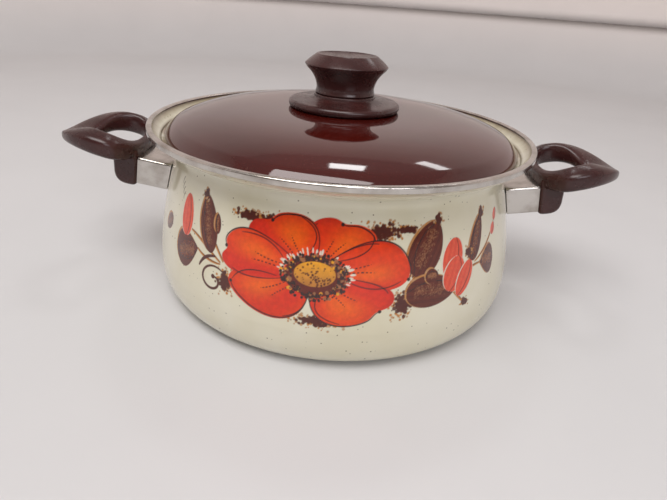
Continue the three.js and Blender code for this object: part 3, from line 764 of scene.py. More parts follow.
def petal_line(paint, petal, first, last, scale, width=0.62, blob=0.0):
    """A pen line that follows part of a petal's edge."""
    angle, half, length, notch = petal
    share = np.linspace(first, last, 34)
    turn = np.radians(angle + share * half)
    out = petal_edge(share, length, notch) * scale
    points = FLOWER + np.stack([np.cos(turn), np.sin(turn)], 1) * out[:, None] * FLOWER_SIZE
    pen(paint, points, width, INK, blob)


def petal_ray(petal, share):
    """From the flower's middle to its edge at a share of a petal's half-angle."""
    turn = math.radians(petal[0] + share * petal[1])
    return np.array((math.cos(turn), math.sin(turn))) * FLOWER_SIZE


def draw_flower(paint):
    for number, petal in enumerate(PETALS):
        draw_petal(paint, *petal)
        first, last = ((-0.98, 0.15), (0.97, -0.45), (-0.97, 0.05))[number % 3]
        petal_line(paint, petal, first, last, 0.97 + 0.04 * (number % 2), 0.8, 0.95)
        petal_line(paint, petal, 0.97, 0.62, 0.93, 0.6)
    crease = ((-0.62, 0.36), (-1.0, 0.72), (-0.50, 0.90))
    for petal in PETALS:
        side = [petal_ray(petal, share) * out for share, out in crease]
        pen(paint, bow(*[FLOWER + point for point in side]), 0.62)
        for offset in (-0.18, 0.14):
            ray = petal_ray(petal, offset)
            middle = FLOWER + ray * 0.48 + np.array((ray[1], -ray[0])) * 0.12 * offset
            pen(paint, bow(FLOWER + ray * 0.32, middle, FLOWER + ray * 0.62), 0.66, INK, 0, dashes=7)


def ring_point(turn, size):
    return EYE + np.array((math.cos(turn) * size[0], math.sin(turn) * size[1]))


def draw_eye(paint):
    """Pale stamens, a brown ground, a ring of beads, and the dotted yellow disc."""
    chance = random.Random(7)
    for _ in range(58):
        turn, out = chance.uniform(0, math.tau), chance.uniform(0.97, 1.12)
        if math.sin(turn) > -0.35:
            ends = [ring_point(turn, (a * out, b * out)) for a, b in ((16.5, 10.4), (18.6, 12.6))]
            pen(paint, ends, chance.uniform(0.6, 1.1), CHALK)
    where = around(paint, EYE - 22, EYE + 22)
    flat = stretched(paint, where, EYE, np.array((15.8, 10.2)))
    lay(paint, where, inked((1 - np.hypot(*flat.T)) * 11) * 0.94, BROWN)
    for _ in range(330):
        turn, out = chance.uniform(0, math.tau), chance.uniform(0.80, 1.20)
        low_side = 1.0 + 0.12 * (math.sin(turn) < 0)
        place = ring_point(turn, (15 * out, 9.4 * out * low_side))
        colour = INK if chance.random() < 0.66 else BROWN_LIGHT if chance.random() < 0.8 else YELLOW
        dot(paint, *place, chance.uniform(0.35, 0.95), colour)
    flat = stretched(paint, where, EYE + (0, 1.0), np.array((10.6, 6.3)))
    tone = np.clip(0.5 - flat[:, 1] * 0.6, 0, 1)[:, None]
    lay(paint, where, inked((1 - np.hypot(*flat.T)) * 8), blended(YELLOW, OCHRE, tone))
    for _ in range(130):
        turn, out = chance.uniform(0, math.tau), chance.uniform(0, 1) ** 0.6
        place = ring_point(turn, (10 * out, 5.8 * out)) + (0, 0.6)
        if chance.random() < 0.35 + 0.6 * (place[1] < EYE[1]):
            dot(paint, *place, chance.uniform(0.2, 0.6), BROWN, 0.9)


print(len(PETALS), "petals round the eye at", tuple(EYE))

# %% [markdown]
# ### Panels
# Four fine panels lie side by side on the wall, a few hundredths of a millimetre proud, each turned
# from the wall's own outline. One sheet of such fineness would be too heavy. The same spray is printed
# on the back, half a turn round.

# %% Print the panels
PANEL_STEP = 0.34
PANEL_LIFT = 0.06
PANEL_LOW, PANEL_HIGH = 25.0, 86.6
PANEL_EDGES = (-126.0, -63.5, 1.0, 42.0, 117.0)


def painted(u, v):
    """The colour and cover of the print at flat places."""
    paint = {"u": u, "v": v, "colour": np.zeros((len(u), 3)), "cover": np.zeros(len(u))}
    for draw in (draw_foliage, draw_curl, draw_flower, draw_eye):
        draw(paint)
    return np.concatenate([paint["colour"], paint["cover"][:, None]], 1)


def printed_panel(name, low, high, turn):
    """A panel of the wall from u = low to u = high, painted and turned round the pot."""
    rows = round((PANEL_HIGH - PANEL_LOW) / PANEL_STEP)
    outline = [(wall_radius(h) + PANEL_LIFT, h) for h in spread(PANEL_LOW, PANEL_HIGH, rows)]
    first = Matrix.Rotation(turn + low / PRINT_RADIUS - math.pi / 2, 4, "Z")
    columns = round((high - low) / PANEL_STEP)
    mesh = turned(outline, columns, closed=False, place=first, sweep=(high - low) / PRINT_RADIUS)
    mesh.faces.ensure_lookup_table()
    face = mesh.faces[0]
    if face.normal.dot(face.calc_center_median() * Vector((1, 1, 0))) < 0:
        bmesh.ops.reverse_faces(mesh, faces=mesh.faces[:])
    places = np.array([vert.co[:] for vert in mesh.verts]) / MM
    bearing = np.arctan2(places[:, 0], -places[:, 1]) - turn
    u = ((bearing + math.pi) % math.tau - math.pi) * PRINT_RADIUS
    piece = add_piece(name, mesh, PRINTED_ENAMEL, "pot")
    layer = piece.data.attributes.new("print", "FLOAT_COLOR", "POINT")
    layer.data.foreach_set("color", painted(u, places[:, 2]).ravel())


for face_name, turn in (("front", 0.0), ("back", math.pi)):
    for number, (low, high) in enumerate(zip(PANEL_EDGES, PANEL_EDGES[1:]), 1):
        printed_panel(f"print_{face_name}_{number}", low, high, turn)

# %% [markdown]
# ## The rim band
# The raw edge of the enamelled steel would chip, so a strip of stainless steel is rolled over it. It
# is a thin channel with a rounded back, and it carries the bright line round the pot's mouth.

# %% Rim band
BAND_REACH, CROWN_ROUND, FOLD_ROUND, ROLL_ROUND = 3.4, 1.1, 0.9, 0.3


def band_outline():
    """The channel's section, from its rolled outer edge over the top to its inner lip."""
    inner = RIM_RADIUS - BAND_REACH
    skirt, lip = POT_HEIGHT - BAND_REACH, POT_HEIGHT - 1.5
    crown = arc((RIM_RADIUS - CROWN_ROUND, POT_HEIGHT - CROWN_ROUND), CROWN_ROUND, 0, 90, 8)
    fold = arc((inner + FOLD_ROUND, POT_HEIGHT - FOLD_ROUND), FOLD_ROUND, 90, 180, 8)
    inside = [(inner + 0.3, lip), (inner + BAND_WALL, POT_HEIGHT - BAND_WALL - 0.1)]
    back = [(RIM_RADIUS - BAND_WALL, POT_HEIGHT - BAND_WALL - 0.1), (RIM_RADIUS - BAND_WALL, skirt)]
    roll = arc((RIM_RADIUS - ROLL_ROUND, skirt + ROLL_ROUND), ROLL_ROUND, 180, 360, 6)
    return [*roll, *crown, *fold, (inner, lip), *inside, *back]


add_piece("rim_steel", turned(band_outline(), BODY_STEPS), STAINLESS, "pot", "rim_band")

# %% [markdown]
# ## The lid
# The lid is a shallow dome pressed from one sheet, with a rounded shoulder, a short skirt and a rolled
# bottom edge that sits on the ledge. The roll keeps the wet edge smooth and stiff.

# %% Lid
LID_WALL = 1.2
SHOULDER_RADIUS = LID_RADIUS - 4.7
SHOULDER_HEIGHT = LID_BOTTOM + 7.3
DOME_RISE = 10.0
DOME_POWER = 5
ROLL_RADIUS = 1.5
KNOB_HOLE = 2.85
SHOULDER_BLEND = 3.0


def dome_height(radius):
    return SHOULDER_HEIGHT + DOME_RISE * (1 - (radius / SHOULDER_RADIUS) ** DOME_POWER)


def lid_outline():
    dome_edge = SHOULDER_RADIUS - SHOULDER_BLEND
    top = [(r, dome_height(r)) for r in spread(dome_edge, KNOB_HOLE, 34)]
    under = [(r, dome_height(r) - LID_WALL) for r in spread(KNOB_HOLE, dome_edge - LID_WALL, 34)]
    roll_centre = (LID_RADIUS - ROLL_RADIUS, LID_BOTTOM + ROLL_RADIUS)
    roll = arc(roll_centre, ROLL_RADIUS, -150, 30, 12)
    shoulder_control = (SHOULDER_RADIUS + 0.2, SHOULDER_HEIGHT + 0.1)
    inner_control = (SHOULDER_RADIUS - LID_WALL + 0.1, SHOULDER_HEIGHT - LID_WALL)
    skirt_inside = (roll_centre[0] - LID_WALL, roll_centre[1] + 0.8)
    return [
        *under, *curve(under[-1], inner_control, skirt_inside, 8), skirt_inside, *roll,
        *curve(roll[-1], shoulder_control, top[0], 10), *top,
    ]


add_piece("lid_dome", turned(lid_outline(), BODY_STEPS), MAROON_ENAMEL, "lid", "lid_shell")

# %% [markdown]
# ## Knob and collar
# A phenolic collar spreads the screw's load over the enamel, and the waisted knob stands on it. Both
# come out of round moulds, so their outlines have small radii on every edge and a fine ridge where the
# mould closed.

# %% Collar and knob
KNOB_STEPS = 96
KNOB_NECK = 18.0
KNOB_WIDEST, KNOB_HOLE_TOP, INSERT_RADIUS, DISH_DEPTH = 16.8, 14.3, 5.3, 1.6
BRIM_ROUND, FOOT_ROUND, LIP_ROUND = 2.3, 0.6, 0.6


def collar_outline():
    neck = KNOB_NECK + 1.2
    edge_bottom = dome_height(COLLAR_RADIUS) + REST_GAP
    under = [(r, dome_height(r) + REST_GAP) for r in spread(KNOB_HOLE, COLLAR_RADIUS - 1.2, 10)]
    brim = arc((COLLAR_RADIUS - BRIM_ROUND, edge_bottom + BRIM_ROUND), BRIM_ROUND, -80, 80, 14)
    foot = (neck, COLLAR_TOP - 1.6)
    crown = arc((neck - 0.7, COLLAR_TOP - 0.7), 0.7, 0, 90, 5)
    sweep = curve(brim[-1], (neck + 1.2, edge_bottom + 2 * BRIM_ROUND + 0.9), foot, 14)
    return [*under, *brim, *sweep, foot, *crown, (KNOB_HOLE, COLLAR_TOP)]


def knob_outline():
    """From the hole for the insert, round the foot and the waist, over the lip and into the dish."""
    wide = KNOB_BOTTOM + KNOB_WIDEST
    foot = KNOB_NECK + FOOT_ROUND
    hole_top = KNOB_BOTTOM + KNOB_HOLE_TOP
    dish_floor = KNOB_TOP - DISH_DEPTH
    neck = (KNOB_NECK, KNOB_BOTTOM + 3.6)
    under = (KNOB_RADIUS - 1.1, wide - 1.9)
    lip = arc((KNOB_RADIUS - LIP_ROUND, wide), LIP_ROUND, -40, 50, 6)
    crown = (19.0, KNOB_TOP - 0.5)
    dish = (17.3, KNOB_TOP - 0.3)
    return [
        (0, hole_top), (INSERT_RADIUS, hole_top), (INSERT_RADIUS, KNOB_BOTTOM),
        (foot - FOOT_ROUND, KNOB_BOTTOM),
        *arc((foot - FOOT_ROUND, KNOB_BOTTOM + FOOT_ROUND), FOOT_ROUND, -80, 30, 6),
        *curve((foot - 0.1, KNOB_BOTTOM + 1.0), (KNOB_NECK, KNOB_BOTTOM + 2.2), neck, 5), neck,
        *curve(neck, (KNOB_NECK + 0.5, KNOB_BOTTOM + 9.8), under, 18), under, *lip,
        *curve(lip[-1], (KNOB_RADIUS - 2.9, KNOB_TOP - 3.0), crown, 12), crown,
        *curve(crown, (18.1, KNOB_TOP + 0.25), dish, 6), dish,
        *curve(dish, (15.5, dish_floor), (0, dish_floor), 14), (0, dish_floor),
    ]


collar = turned(collar_outline(), KNOB_STEPS)
add_piece("collar_moulding", collar, PHENOLIC, "lid", "knob_collar", sharp=50)
knob = turned(knob_outline(), KNOB_STEPS, closed=False)
add_piece("knob_moulding", knob, PHENOLIC, "lid", "lid_knob", sharp=50)

# %% [markdown]
# ## The frame of a handle
# Each handle is set out in its own frame: it starts on the pot's wall, X runs outwards and a little up,
# and Z is up. The left handle is the right one turned half way round the pot, so one matrix each
# places every piece of a handle.

# %% Handle frames
HANDLE_DROP = 39.6
HANDLE_HEIGHT = POT_HEIGHT - HANDLE_DROP
HANDLE_TILT = math.radians(9)
on_wall = Matrix.Translation((wall_radius(HANDLE_HEIGHT) * MM, 0, HANDLE_HEIGHT * MM))
RIGHT = on_wall @ Matrix.Rotation(-HANDLE_TILT, 4, "Y")
HANDLE_PLACES = {"right": RIGHT, "left": Matrix.Rotation(math.pi, 4, "Z") @ RIGHT}
Z_TO_X = Matrix.Rotation(math.pi / 2, 4, "Y")
print("a handle starts", round(wall_radius(HANDLE_HEIGHT), 2), "mm from the middle")

# %% [markdown]
# ## Flame guards
# A short sleeve of stainless sheet keeps the gas flame off the resin. It is a rounded rectangular tube
# whose inner end is cut to the pot's wall. The tube is extruded from its outline, then the points of
# the inner end slide along it until they are a sleeve's gap from the wall.

# %% Flame guards
GUARD_LENGTH, GUARD_WIDTH, GUARD_DEPTH, GUARD_WALL, GUARD_CORNER = 20.5, 35.0, 18.0, 0.9, 1.6
SLEEVE_GAP = 1.2


def soften_edges(mesh, angle, offset, segments):
    """Bevels every edge that turns by more than an angle in degrees."""
    edges = [edge for edge in mesh.edges if edge.calc_face_angle(0) > math.radians(angle)]
    bmesh.ops.bevel(
        mesh, geom=edges, offset=offset * MM, offset_type="OFFSET", affect="EDGES",
        segments=segments, profile=0.5, material=-1, clamp_overlap=True,
    )


def rounded_rectangle(width, height, corner, steps=6):
    """Points round a rectangle in Y and Z."""
    points = []
    for y, z, start in ((1, 1, 0), (-1, 1, 90), (-1, -1, 180), (1, -1, 270)):
        centre = (y * (width / 2 - corner), z * (height / 2 - corner))
        points += arc(centre, corner, start, start + 90, steps)
    return points


def to_wall(y, z, gap):
    """How far out along the handle's X a point clears the wall by a gap."""
    out = 0.0
    for _ in range(12):
        place = RIGHT @ Vector((out * MM, y * MM, z * MM)) / MM
        out += wall_radius(place.z) + gap - math.hypot(place.x, place.y)
    return out


def sleeve(width, height, corner, stations):
    """An open tube along X. Each station is a function of (y, z) that gives its X."""
    mesh = bmesh.new()
    outline = rounded_rectangle(width, height, corner)
    ring = [mesh.verts.new((stations[0](y, z) * MM, y * MM, z * MM)) for y, z in outline]
    edges = [mesh.edges.new(pair) for pair in zip(ring, ring[1:] + ring[:1])]
    for station in stations[1:]:
        grown = bmesh.ops.extrude_edge_only(mesh, edges=edges)["geom"]
        edges = [item for item in grown if isinstance(item, bmesh.types.BMEdge)]
        edges = [edge for edge in edges if all(vert in grown for vert in edge.verts)]
        edges = [edge for edge in edges if len(edge.link_faces) == 1]
        for vert in {vert for edge in edges for vert in edge.verts}:
            vert.co.x = station(vert.co.y / MM, vert.co.z / MM) * MM
    return mesh


def flame_guard(side):
    at_wall = lambda y, z: to_wall(y, z, SLEEVE_GAP)
    stations = [at_wall]
    stations += [lambda y, z, x=x: max(x, at_wall(y, z) + 0.5) for x in spread(4, GUARD_LENGTH, 6)]
    mesh = sleeve(GUARD_WIDTH, GUARD_DEPTH, GUARD_CORNER, stations)
    bmesh.ops.recalc_face_normals(mesh, faces=mesh.faces[:])
    from_axis = Vector((0, 1, 1))
    facing = sum(face.normal.dot(face.calc_center_median() * from_axis) for face in mesh.faces)
    if facing < 0:
        bmesh.ops.reverse_faces(mesh, faces=mesh.faces[:])
    bmesh.ops.solidify(mesh, geom=mesh.faces[:], thickness=GUARD_WALL * MM)
    soften_edges(mesh, 60, 0.2, 2)
    bmesh.ops.transform(mesh, matrix=HANDLE_PLACES[side], verts=mesh.verts[:])
    node = f"{side}_flame_guard"
    add_piece(f"{side}_guard_steel", mesh, STAINLESS, "pot", node)


for side in HANDLE_PLACES:
    flame_guard(side)

# %% [markdown]
# ## Handles
# A handle is one phenolic moulding: a loop for the fingers, and a boss that carries it on the flame
# guard. The loop is a ring spun from a circle, then pulled into an egg by moving its points. The
# boss is an extruded outline with beveled edges, and the finger gap is scooped out of it. A voxel
# remesh joins the two and the spigot into one skin, and light smoothing gives the joint the fillet
# that a mould has. The hole and the pocket for the screw are cut last, so they stay crisp.

# %% Handle sizes
BOSS_LENGTH, LOOP_REACH, LOOP_TAPER = 16, 36.7, 36.5
BOSS_START = GUARD_LENGTH + REST_GAP
BOSS_END = BOSS_START + BOSS_LENGTH
LOOP_TIP = BOSS_END + LOOP_REACH
LOOP_WIDEST = LOOP_TIP - LOOP_TAPER
LOOP_HALF_WIDTH, ARM_WIDTH, TIP_WIDTH, BRIDGE_WIDTH = 35.0, 12.0, 18.5, 5.0
LOOP_BOTTOM, ARM_HEIGHT, ARM_RISE, BRIDGE_HEIGHT = 9.6, 15.2, 2.5, 10.5
TIP_BOTTOM, TIP_HEIGHT = 6.5, 8.0
TOP_SLANT, TIP_SHARPNESS, POT_SQUARENESS, SECTION_SQUARENESS = 0.25, 1.05, 0.85, 0.62
VOXEL = 0.55
FILLET_ROUNDS = 14
BOSS_TOP, BOSS_MARGIN, BOSS_ROUND, TOE_LENGTH = 13.5, 2, 2.6, 10
POCKET_DEPTH, POCKET_RADIUS, POCKET_ROOF, BOLT_HOLE = 5.0, 6.4, 7.4, 2.85
SPIGOT_DEPTH, SPIGOT_OVERLAP, SPIGOT_PLAY = 3.5, 3, 0.4


def egg(along, reach_in, reach_out, half_width):
    """A point on an egg-shaped path, pointed towards the tip."""
    cosine, sine = math.cos(along), math.sin(along)
    outwards = cosine > 0
    x = reach_out * cosine if outwards else -reach_in * (-cosine) ** POT_SQUARENESS
    power = TIP_SHARPNESS if outwards else POT_SQUARENESS
    return Vector((LOOP_WIDEST + x, half_width * math.copysign(abs(sine) ** power, sine), 0))


def gap_edge(along):
    """A point on the outline of the finger gap."""
    reach_in, reach_out = LOOP_WIDEST - BOSS_START - BRIDGE_WIDTH, LOOP_TIP - TIP_WIDTH - LOOP_WIDEST
    return egg(along, reach_in, reach_out, LOOP_HALF_WIDTH - ARM_WIDTH)


def squared(value):
    """A sine or cosine that makes a rounded square where the plain one makes a circle."""
    return math.copysign(abs(value) ** SECTION_SQUARENESS, value)


def loop_point(along, around):
    """A point on the loop from its angle along the loop and its angle round the section."""
    inside = gap_edge(along)
    outside = egg(along, LOOP_WIDEST - BOSS_START, LOOP_TIP - LOOP_WIDEST, LOOP_HALF_WIDTH)
    to_tip = max(0, math.cos(along)) ** 3
    to_pot = max(0, -math.cos(along)) ** 2
    rise = ARM_RISE * math.cos(along) * (1 - to_tip)
    bottom = LOOP_BOTTOM + (TIP_BOTTOM - LOOP_BOTTOM) * to_tip + rise
    height = ARM_HEIGHT + (TIP_HEIGHT - ARM_HEIGHT) * to_tip + (BRIDGE_HEIGHT - ARM_HEIGHT) * to_pot
    out, over = squared(math.cos(around)), squared(math.sin(around))
    slant = 1 - TOP_SLANT * (1 + out) if over > 0 else 1
    point = inside.lerp(outside, (1 + out) / 2)
    point.z = bottom + (1 + over * slant) * height / 2
    return point


def handle_loop():
    mesh = bmesh.new()
    bmesh.ops.create_circle(mesh, cap_ends=False, radius=0.5, segments=56)
    stand = Matrix.Translation((1, 0, 0)) @ Matrix.Rotation(math.pi / 2, 4, "X")
    bmesh.ops.transform(mesh, matrix=stand, verts=mesh.verts[:])
    bmesh.ops.spin(
        mesh, geom=mesh.verts[:] + mesh.edges[:], cent=(0, 0, 0), axis=(0, 0, 1), dvec=(0, 0, 0),
        angle=math.tau, steps=160, use_merge=True, use_duplicate=False,
    )
    bmesh.ops.remove_doubles(mesh, verts=mesh.verts[:], dist=1e-5)
    for vert in mesh.verts:
        along = math.atan2(vert.co.y, vert.co.x)
        around = math.atan2(vert.co.z, math.hypot(vert.co.x, vert.co.y) - 1)
        vert.co = loop_point(along, around) * MM
    bmesh.ops.recalc_face_normals(mesh, faces=mesh.faces[:])
    return mesh


def prism(outline, travel):
    """A solid from a flat outline in millimetres, drawn out along a vector."""
    mesh = bmesh.new()
    face = mesh.faces.new([mesh.verts.new([value * MM for value in point]) for point in outline])
    grown = bmesh.ops.extrude_face_region(mesh, geom=[face])["geom"]
    moved = [item for item in grown if isinstance(item, bmesh.types.BMVert)]
    bmesh.ops.translate(mesh, vec=[value * MM for value in travel], verts=moved)
    bmesh.ops.recalc_face_normals(mesh, faces=mesh.faces[:])
    return mesh


def handle_boss():
    """The boss and its foot, from an outline in X and Z."""
    bottom, half = -GUARD_DEPTH / 2 - BOSS_MARGIN, (GUARD_WIDTH + BOSS_MARGIN) / 2
    toe_start, toe_end = (BOSS_END - TOE_LENGTH, bottom), (BOSS_END - 1.0, bottom + TOE_LENGTH)
    toe = curve(toe_start, (BOSS_END - 1.2, bottom), toe_end, 8)
    outline = [(BOSS_START, bottom), toe_start, *toe, toe_end]
    outline += [(BOSS_END, BOSS_TOP - 3.5), (BOSS_START, BOSS_TOP)]
    mesh = prism([(x, -half, z) for x, z in outline], (0, 2 * half, 0))
    soften_edges(mesh, 40, BOSS_ROUND, 5)
    return mesh


def gap_scoop():
    """What the finger gap takes out of the boss, down to the roof over the screw's pocket."""
    outline = [gap_edge(along) for along in spread(0, math.tau, 64)[1:]]
    return prism([(point.x, point.y, POCKET_ROOF) for point in outline], (0, 0, BOSS_TOP))


def block(size, centre):
    """A plain block, used only as a tool or inside a moulding."""
    mesh = bmesh.new()
    bmesh.ops.create_cube(mesh, size=1)
    bmesh.ops.scale(mesh, vec=[value * MM for value in size], verts=mesh.verts[:])
    bmesh.ops.translate(mesh, vec=[value * MM for value in centre], verts=mesh.verts[:])
    return mesh


def handle_spigot():
    """The part of the moulding that plugs into the flame guard."""
    length = SPIGOT_DEPTH + REST_GAP + SPIGOT_OVERLAP
    play = 2 * (GUARD_WALL + SPIGOT_PLAY)
    size = (length, GUARD_WIDTH - play, GUARD_DEPTH - play)
    return block(size, (GUARD_LENGTH - SPIGOT_DEPTH + length / 2, 0, 0))


def bar(radius, start, end, steps=48):
    """A round bar along X."""
    mesh = bmesh.new()
    bmesh.ops.create_cone(
        mesh, cap_ends=True, segments=steps, radius1=radius * MM, radius2=radius * MM,
        depth=(end - start) * MM,
    )
    place = Matrix.Translation(((start + end) / 2 * MM, 0, 0)) @ Z_TO_X
    bmesh.ops.transform(mesh, matrix=place, verts=mesh.verts[:])
    return mesh


def scratch_object(mesh):
    data = bpy.data.meshes.new("scratch")
    mesh.to_mesh(data)
    mesh.free()
    item = bpy.data.objects.new("scratch", data)
    bpy.context.scene.collection.objects.link(item)
    return item


def evaluated(item):
    """The object's mesh with its modifiers applied, as a bmesh."""
    ready = item.evaluated_get(bpy.context.evaluated_depsgraph_get())
    mesh = bmesh.new()
    mesh.from_mesh(ready.to_mesh())
    ready.to_mesh_clear()
    return mesh


def joined(meshes):
    """Several bmeshes in one."""
    whole = bmesh.new()
    for mesh in meshes:
        data = bpy.data.meshes.new("part")
        mesh.to_mesh(data)
        mesh.free()
        whole.from_mesh(data)
        bpy.data.meshes.remove(data)
    return whole


def cut(item, tools):
    """Cuts each tool out of an object, and hands back its bmesh."""
    cutters = [scratch_object(tool) for tool in tools]
    for cutter in cutters:
        step = item.modifiers.new("cut", "BOOLEAN")
        step.operation, step.solver, step.object = "DIFFERENCE", "EXACT", cutter
    result = evaluated(item)
    for used in [*cutters, item]:
        data = used.data
        bpy.data.objects.remove(used)
        bpy.data.meshes.remove(data)
    return result


def moulding():
    """The whole handle in its own frame."""
    boss = cut(scratch_object(handle_boss()), [gap_scoop()])
    item = scratch_object(joined([handle_loop(), boss, handle_spigot()]))
    skin = item.modifiers.new("skin", "REMESH")
    skin.mode, skin.voxel_size = "VOXEL", VOXEL * MM
    fillet = item.modifiers.new("fillet", "SMOOTH")
    fillet.factor, fillet.iterations = 0.5, FILLET_ROUNDS
    pocket = bar(POCKET_RADIUS, BOSS_END - POCKET_DEPTH, BOSS_END + 5)
    return cut(item, [bar(BOLT_HOLE, 0, BOSS_END + 1), pocket])


blank = bpy.data.meshes.new("handle_blank")
made = moulding()
made.to_mesh(blank)
made.free()
for side, place in HANDLE_PLACES.items():
    mesh = bmesh.new()
    mesh.from_mesh(blank)
    bmesh.ops.transform(mesh, matrix=place, verts=mesh.verts[:])
    add_piece(f"{side}_handle_moulding", mesh, PHENOLIC, "pot", f"{side}_handle", sharp=50)
bpy.data.meshes.remove(blank)

# %% [markdown]
# ## Screws, washers and nuts
# A slotted pan-head screw holds each handle, and one more holds the knob from below. Their heads are
# turned outlines with the slot cut out by a thin block. The head lies in a pocket of the handle, on a
# washer, and shows from the side.

# %% Fasteners
SHANK, HEAD_RADIUS, HEAD_HEIGHT, SLOT_WIDTH, SLOT_DEPTH = 2.5, 4.8, 2.8, 1.2, 1.3
BEARING_EDGE = 1.1
WASHER_RADIUS, WASHER_THICKNESS = 5.6, 1.0
GASKET_RADIUS, GASKET_THICKNESS = 7.5, 1.2
BRACKET_REACH, BRACKET_SHEET, NUT_THICKNESS = 15.5, 1.8, 4.0
TURNED_STEPS = 40


def screw(length, place):
    """A screw along Z with its head up and bearing at 0, then placed."""
    edge = (HEAD_RADIUS, BEARING_EDGE)
    head = curve(edge, (HEAD_RADIUS, HEAD_HEIGHT), (0.6, HEAD_HEIGHT), 8)
    outline = [
        (0, -length), (SHANK - 0.5, -length), (SHANK, -length + 0.8), (SHANK, 0),
        (HEAD_RADIUS, 0), edge, *head, (0, HEAD_HEIGHT),
    ]
    slot_tool = block((HEAD_RADIUS * 3, SLOT_WIDTH, SLOT_DEPTH * 2), (0, 0, HEAD_HEIGHT))
    mesh = cut(scratch_object(turned(outline, TURNED_STEPS, closed=False)), [slot_tool])
    bmesh.ops.transform(mesh, matrix=place, verts=mesh.verts[:])
    return mesh


def washer(outer, inner, thickness, place):
    """A flat ring along Z with softened edges, then placed."""
    corners = [(inner, 0), (outer, 0), (outer, thickness), (inner, thickness)]
    return turned(softened(corners, 0.2), TURNED_STEPS, place=place)


def along_handle(place, distance):
    """A frame on the handle's X whose Z points outwards along it."""
    return place @ Matrix.Translation((distance * MM, 0, 0)) @ Z_TO_X


seat = BOSS_END - POCKET_DEPTH + REST_GAP
bearing = seat + WASHER_THICKNESS + REST_GAP
bolt_length = bearing - (BRACKET_REACH - BRACKET_SHEET - REST_GAP - NUT_THICKNESS) + 1.0
for side, place in HANDLE_PLACES.items():
    ring = washer(WASHER_RADIUS, BOLT_HOLE, WASHER_THICKNESS, along_handle(place, seat))
    add_piece(f"{side}_washer_zinc", ring, ZINC, "pot", f"{side}_handle_washer")
    bolt = screw(bolt_length, along_handle(place, bearing))
    add_piece(f"{side}_screw_zinc", bolt, ZINC, "pot", f"{side}_handle_screw")



def under_lid(node, radius, thickness):
    """A ring round the knob's screw, with its top at the top of a frame part."""
    place = Matrix.Translation((0, 0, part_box(node)[1][2] - thickness * MM))
    return washer(radius, KNOB_HOLE, thickness, place)


gasket = under_lid("knob_gasket", GASKET_RADIUS, GASKET_THICKNESS)
add_piece("gasket_fibre", gasket, FIBRE, "lid", "knob_gasket")
plain = under_lid("knob_washer", WASHER_RADIUS, WASHER_THICKNESS)
add_piece("knob_washer_zinc", plain, ZINC, "lid", "knob_washer")
knob_screw_low, knob_screw_high = (corner[2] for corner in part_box("knob_screw"))
head_seat = knob_screw_low + HEAD_HEIGHT * MM
upside_down = Matrix.Translation((0, 0, head_seat)) @ Matrix.Rotation(math.pi, 4, "X")
long_screw = screw((knob_screw_high - head_seat) / MM, upside_down)
add_piece("knob_screw_zinc", long_screw, ZINC, "lid", "knob_screw")

# %% [markdown]
# ## Frame parts that stay
# The brackets and nuts are hidden inside the flame guards and the brass insert is inside the knob.
# Their frame shapes are right already, so they keep them and only take the better finish.

# %% Finishes on frame parts
KEPT = {"knob_insert": BRASS}
KEPT |= {f"{side}_{part}": ZINC for side in HANDLE_PLACES for part in ("bracket", "handle_nut")}
for node, material in KEPT.items():
    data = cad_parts[node].data
    data.materials.clear()
    data.materials.append(material)
print("frame parts kept:", ", ".join(sorted(KEPT)))

# %% [markdown]
# ## The studio
# The pot stands on a pale table inside a wide, pale sweep, which is a floor that turns up into a wall
# all round. The enamel and the steel are mirrors, so the sweep and the lamps are what they show: a big
# soft lamp overhead, a long one in front, and two small ones that make the spots on the lid.

# %% Floor and sweep
def matt_board(table, wall, shade):
    """Matt board: a table colour below, a warmer wall behind and a darker wall in front, painted as shade.
    """
    material, tree, shader, place = new_material("matt_pale_board")
    patch = remap(tree, noise(tree, place, 120, 4), 0.3, 0.7, 0.0, 0.5)
    spot = add_node(tree, "ShaderNodeSeparateXYZ", inputs={0: place})
    frontness = remap(tree, spot.outputs["Y"], -0.1, -1.0, smooth=True)
    upright = remap(tree, spot.outputs["Z"], 0.0, 0.25, smooth=True)
    # Painted shade: the wall in front of the pot is given a darker colour for the dimmer side of the room.
    walls = mix(tree, frontness, linear(wall), linear(shade))
    plain = mix(tree, upright, linear(table), walls)
    worn = mix(tree, patch, plain, mix(tree, 0.06, plain, linear("#000000")))
    link(tree, worn, shader, "Base Color")
    shader.inputs["Roughness"].default_value = 0.6
    return material


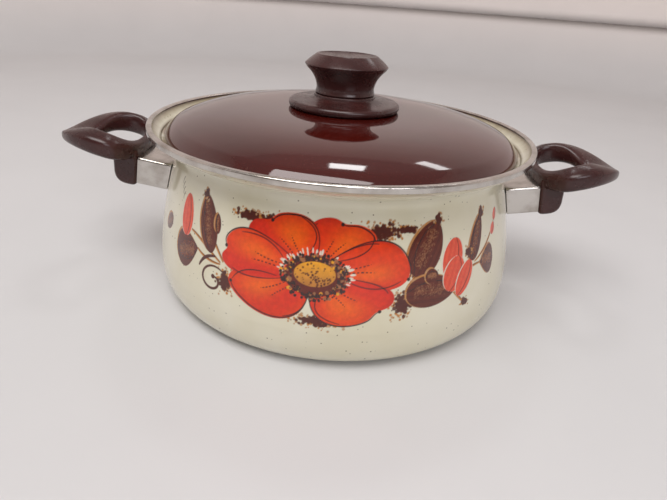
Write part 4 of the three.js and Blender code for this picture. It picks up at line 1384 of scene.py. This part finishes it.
SWEEP_RADIUS, SWEEP_BEND, SWEEP_TOP = 1500, 300, 1850
TABLE_COLOUR, WALL_COLOUR, PAINTED_SHADE_COLOUR = "#d2d2d3", "#efe6e2", "#7a7572"
bend_start = SWEEP_RADIUS - SWEEP_BEND
bend_points = arc((bend_start, SWEEP_BEND), SWEEP_BEND, -90, 0, 16)[1:]
sweep_outline = [(0, 0), (bend_start, 0), *bend_points, (SWEEP_RADIUS, SWEEP_TOP)]
sweep = turned(sweep_outline, 96, closed=False)
bmesh.ops.reverse_faces(sweep, faces=[face for face in sweep.faces if face.normal.z < -0.5])
data = bpy.data.meshes.new("studio_sweep")
sweep.to_mesh(data)
sweep.free()
data.shade_smooth()
data.materials.append(matt_board(TABLE_COLOUR, WALL_COLOUR, PAINTED_SHADE_COLOUR))
floor = bpy.data.objects.new("studio_sweep", data)
bpy.context.scene.collection.objects.link(floor)
print("sweep is", SWEEP_RADIUS, "mm in radius")

# %% Lamps and surroundings
def lamp(name, place, target, width, height, watts, hex_colour="#ffffff"):
    """A soft rectangular lamp that faces a target."""
    data = bpy.data.lights.new(name, "AREA")
    data.shape, data.size, data.size_y = "RECTANGLE", width, height
    data.energy = watts
    data.color = linear(hex_colour)[:3]
    item = bpy.data.objects.new(name, data)
    item.location = place
    item.rotation_mode = "QUATERNION"
    item.rotation_quaternion = (Vector(target) - Vector(place)).to_track_quat("-Z", "Y")
    bpy.context.scene.collection.objects.link(item)
    return item


TABLE_MIDDLE = (0, 0, 0.05)
LID_FRONT = (0, -0.1, 0.108)
ROOM_COLOUR, ROOM_STRENGTH = linear("#e9e2df"), 0.42
lamp("overhead", (-0.3, -0.75, 1.65), TABLE_MIDDLE, 1.4, 0.9, 22.5, "#fffcfa")
lamp("front_fill", (0.5, -1.2, 0.8), TABLE_MIDDLE, 0.8, 0.4, 5, "#f8f8ff")
lamp("window_high", (0.034, 0.415, 0.965), LID_FRONT, 0.16, 0.10, 0.5)
lamp("window_low", (0.40, 0.50, 0.80), LID_FRONT, 0.20, 0.06, 0.2)

world = bpy.data.worlds.new("soft_room")
world.use_nodes = True
background = world.node_tree.nodes["Background"]
background.inputs["Color"].default_value = ROOM_COLOUR
background.inputs["Strength"].default_value = ROOM_STRENGTH
bpy.context.scene.world = world
bpy.context.scene.view_settings.view_transform = "Standard"
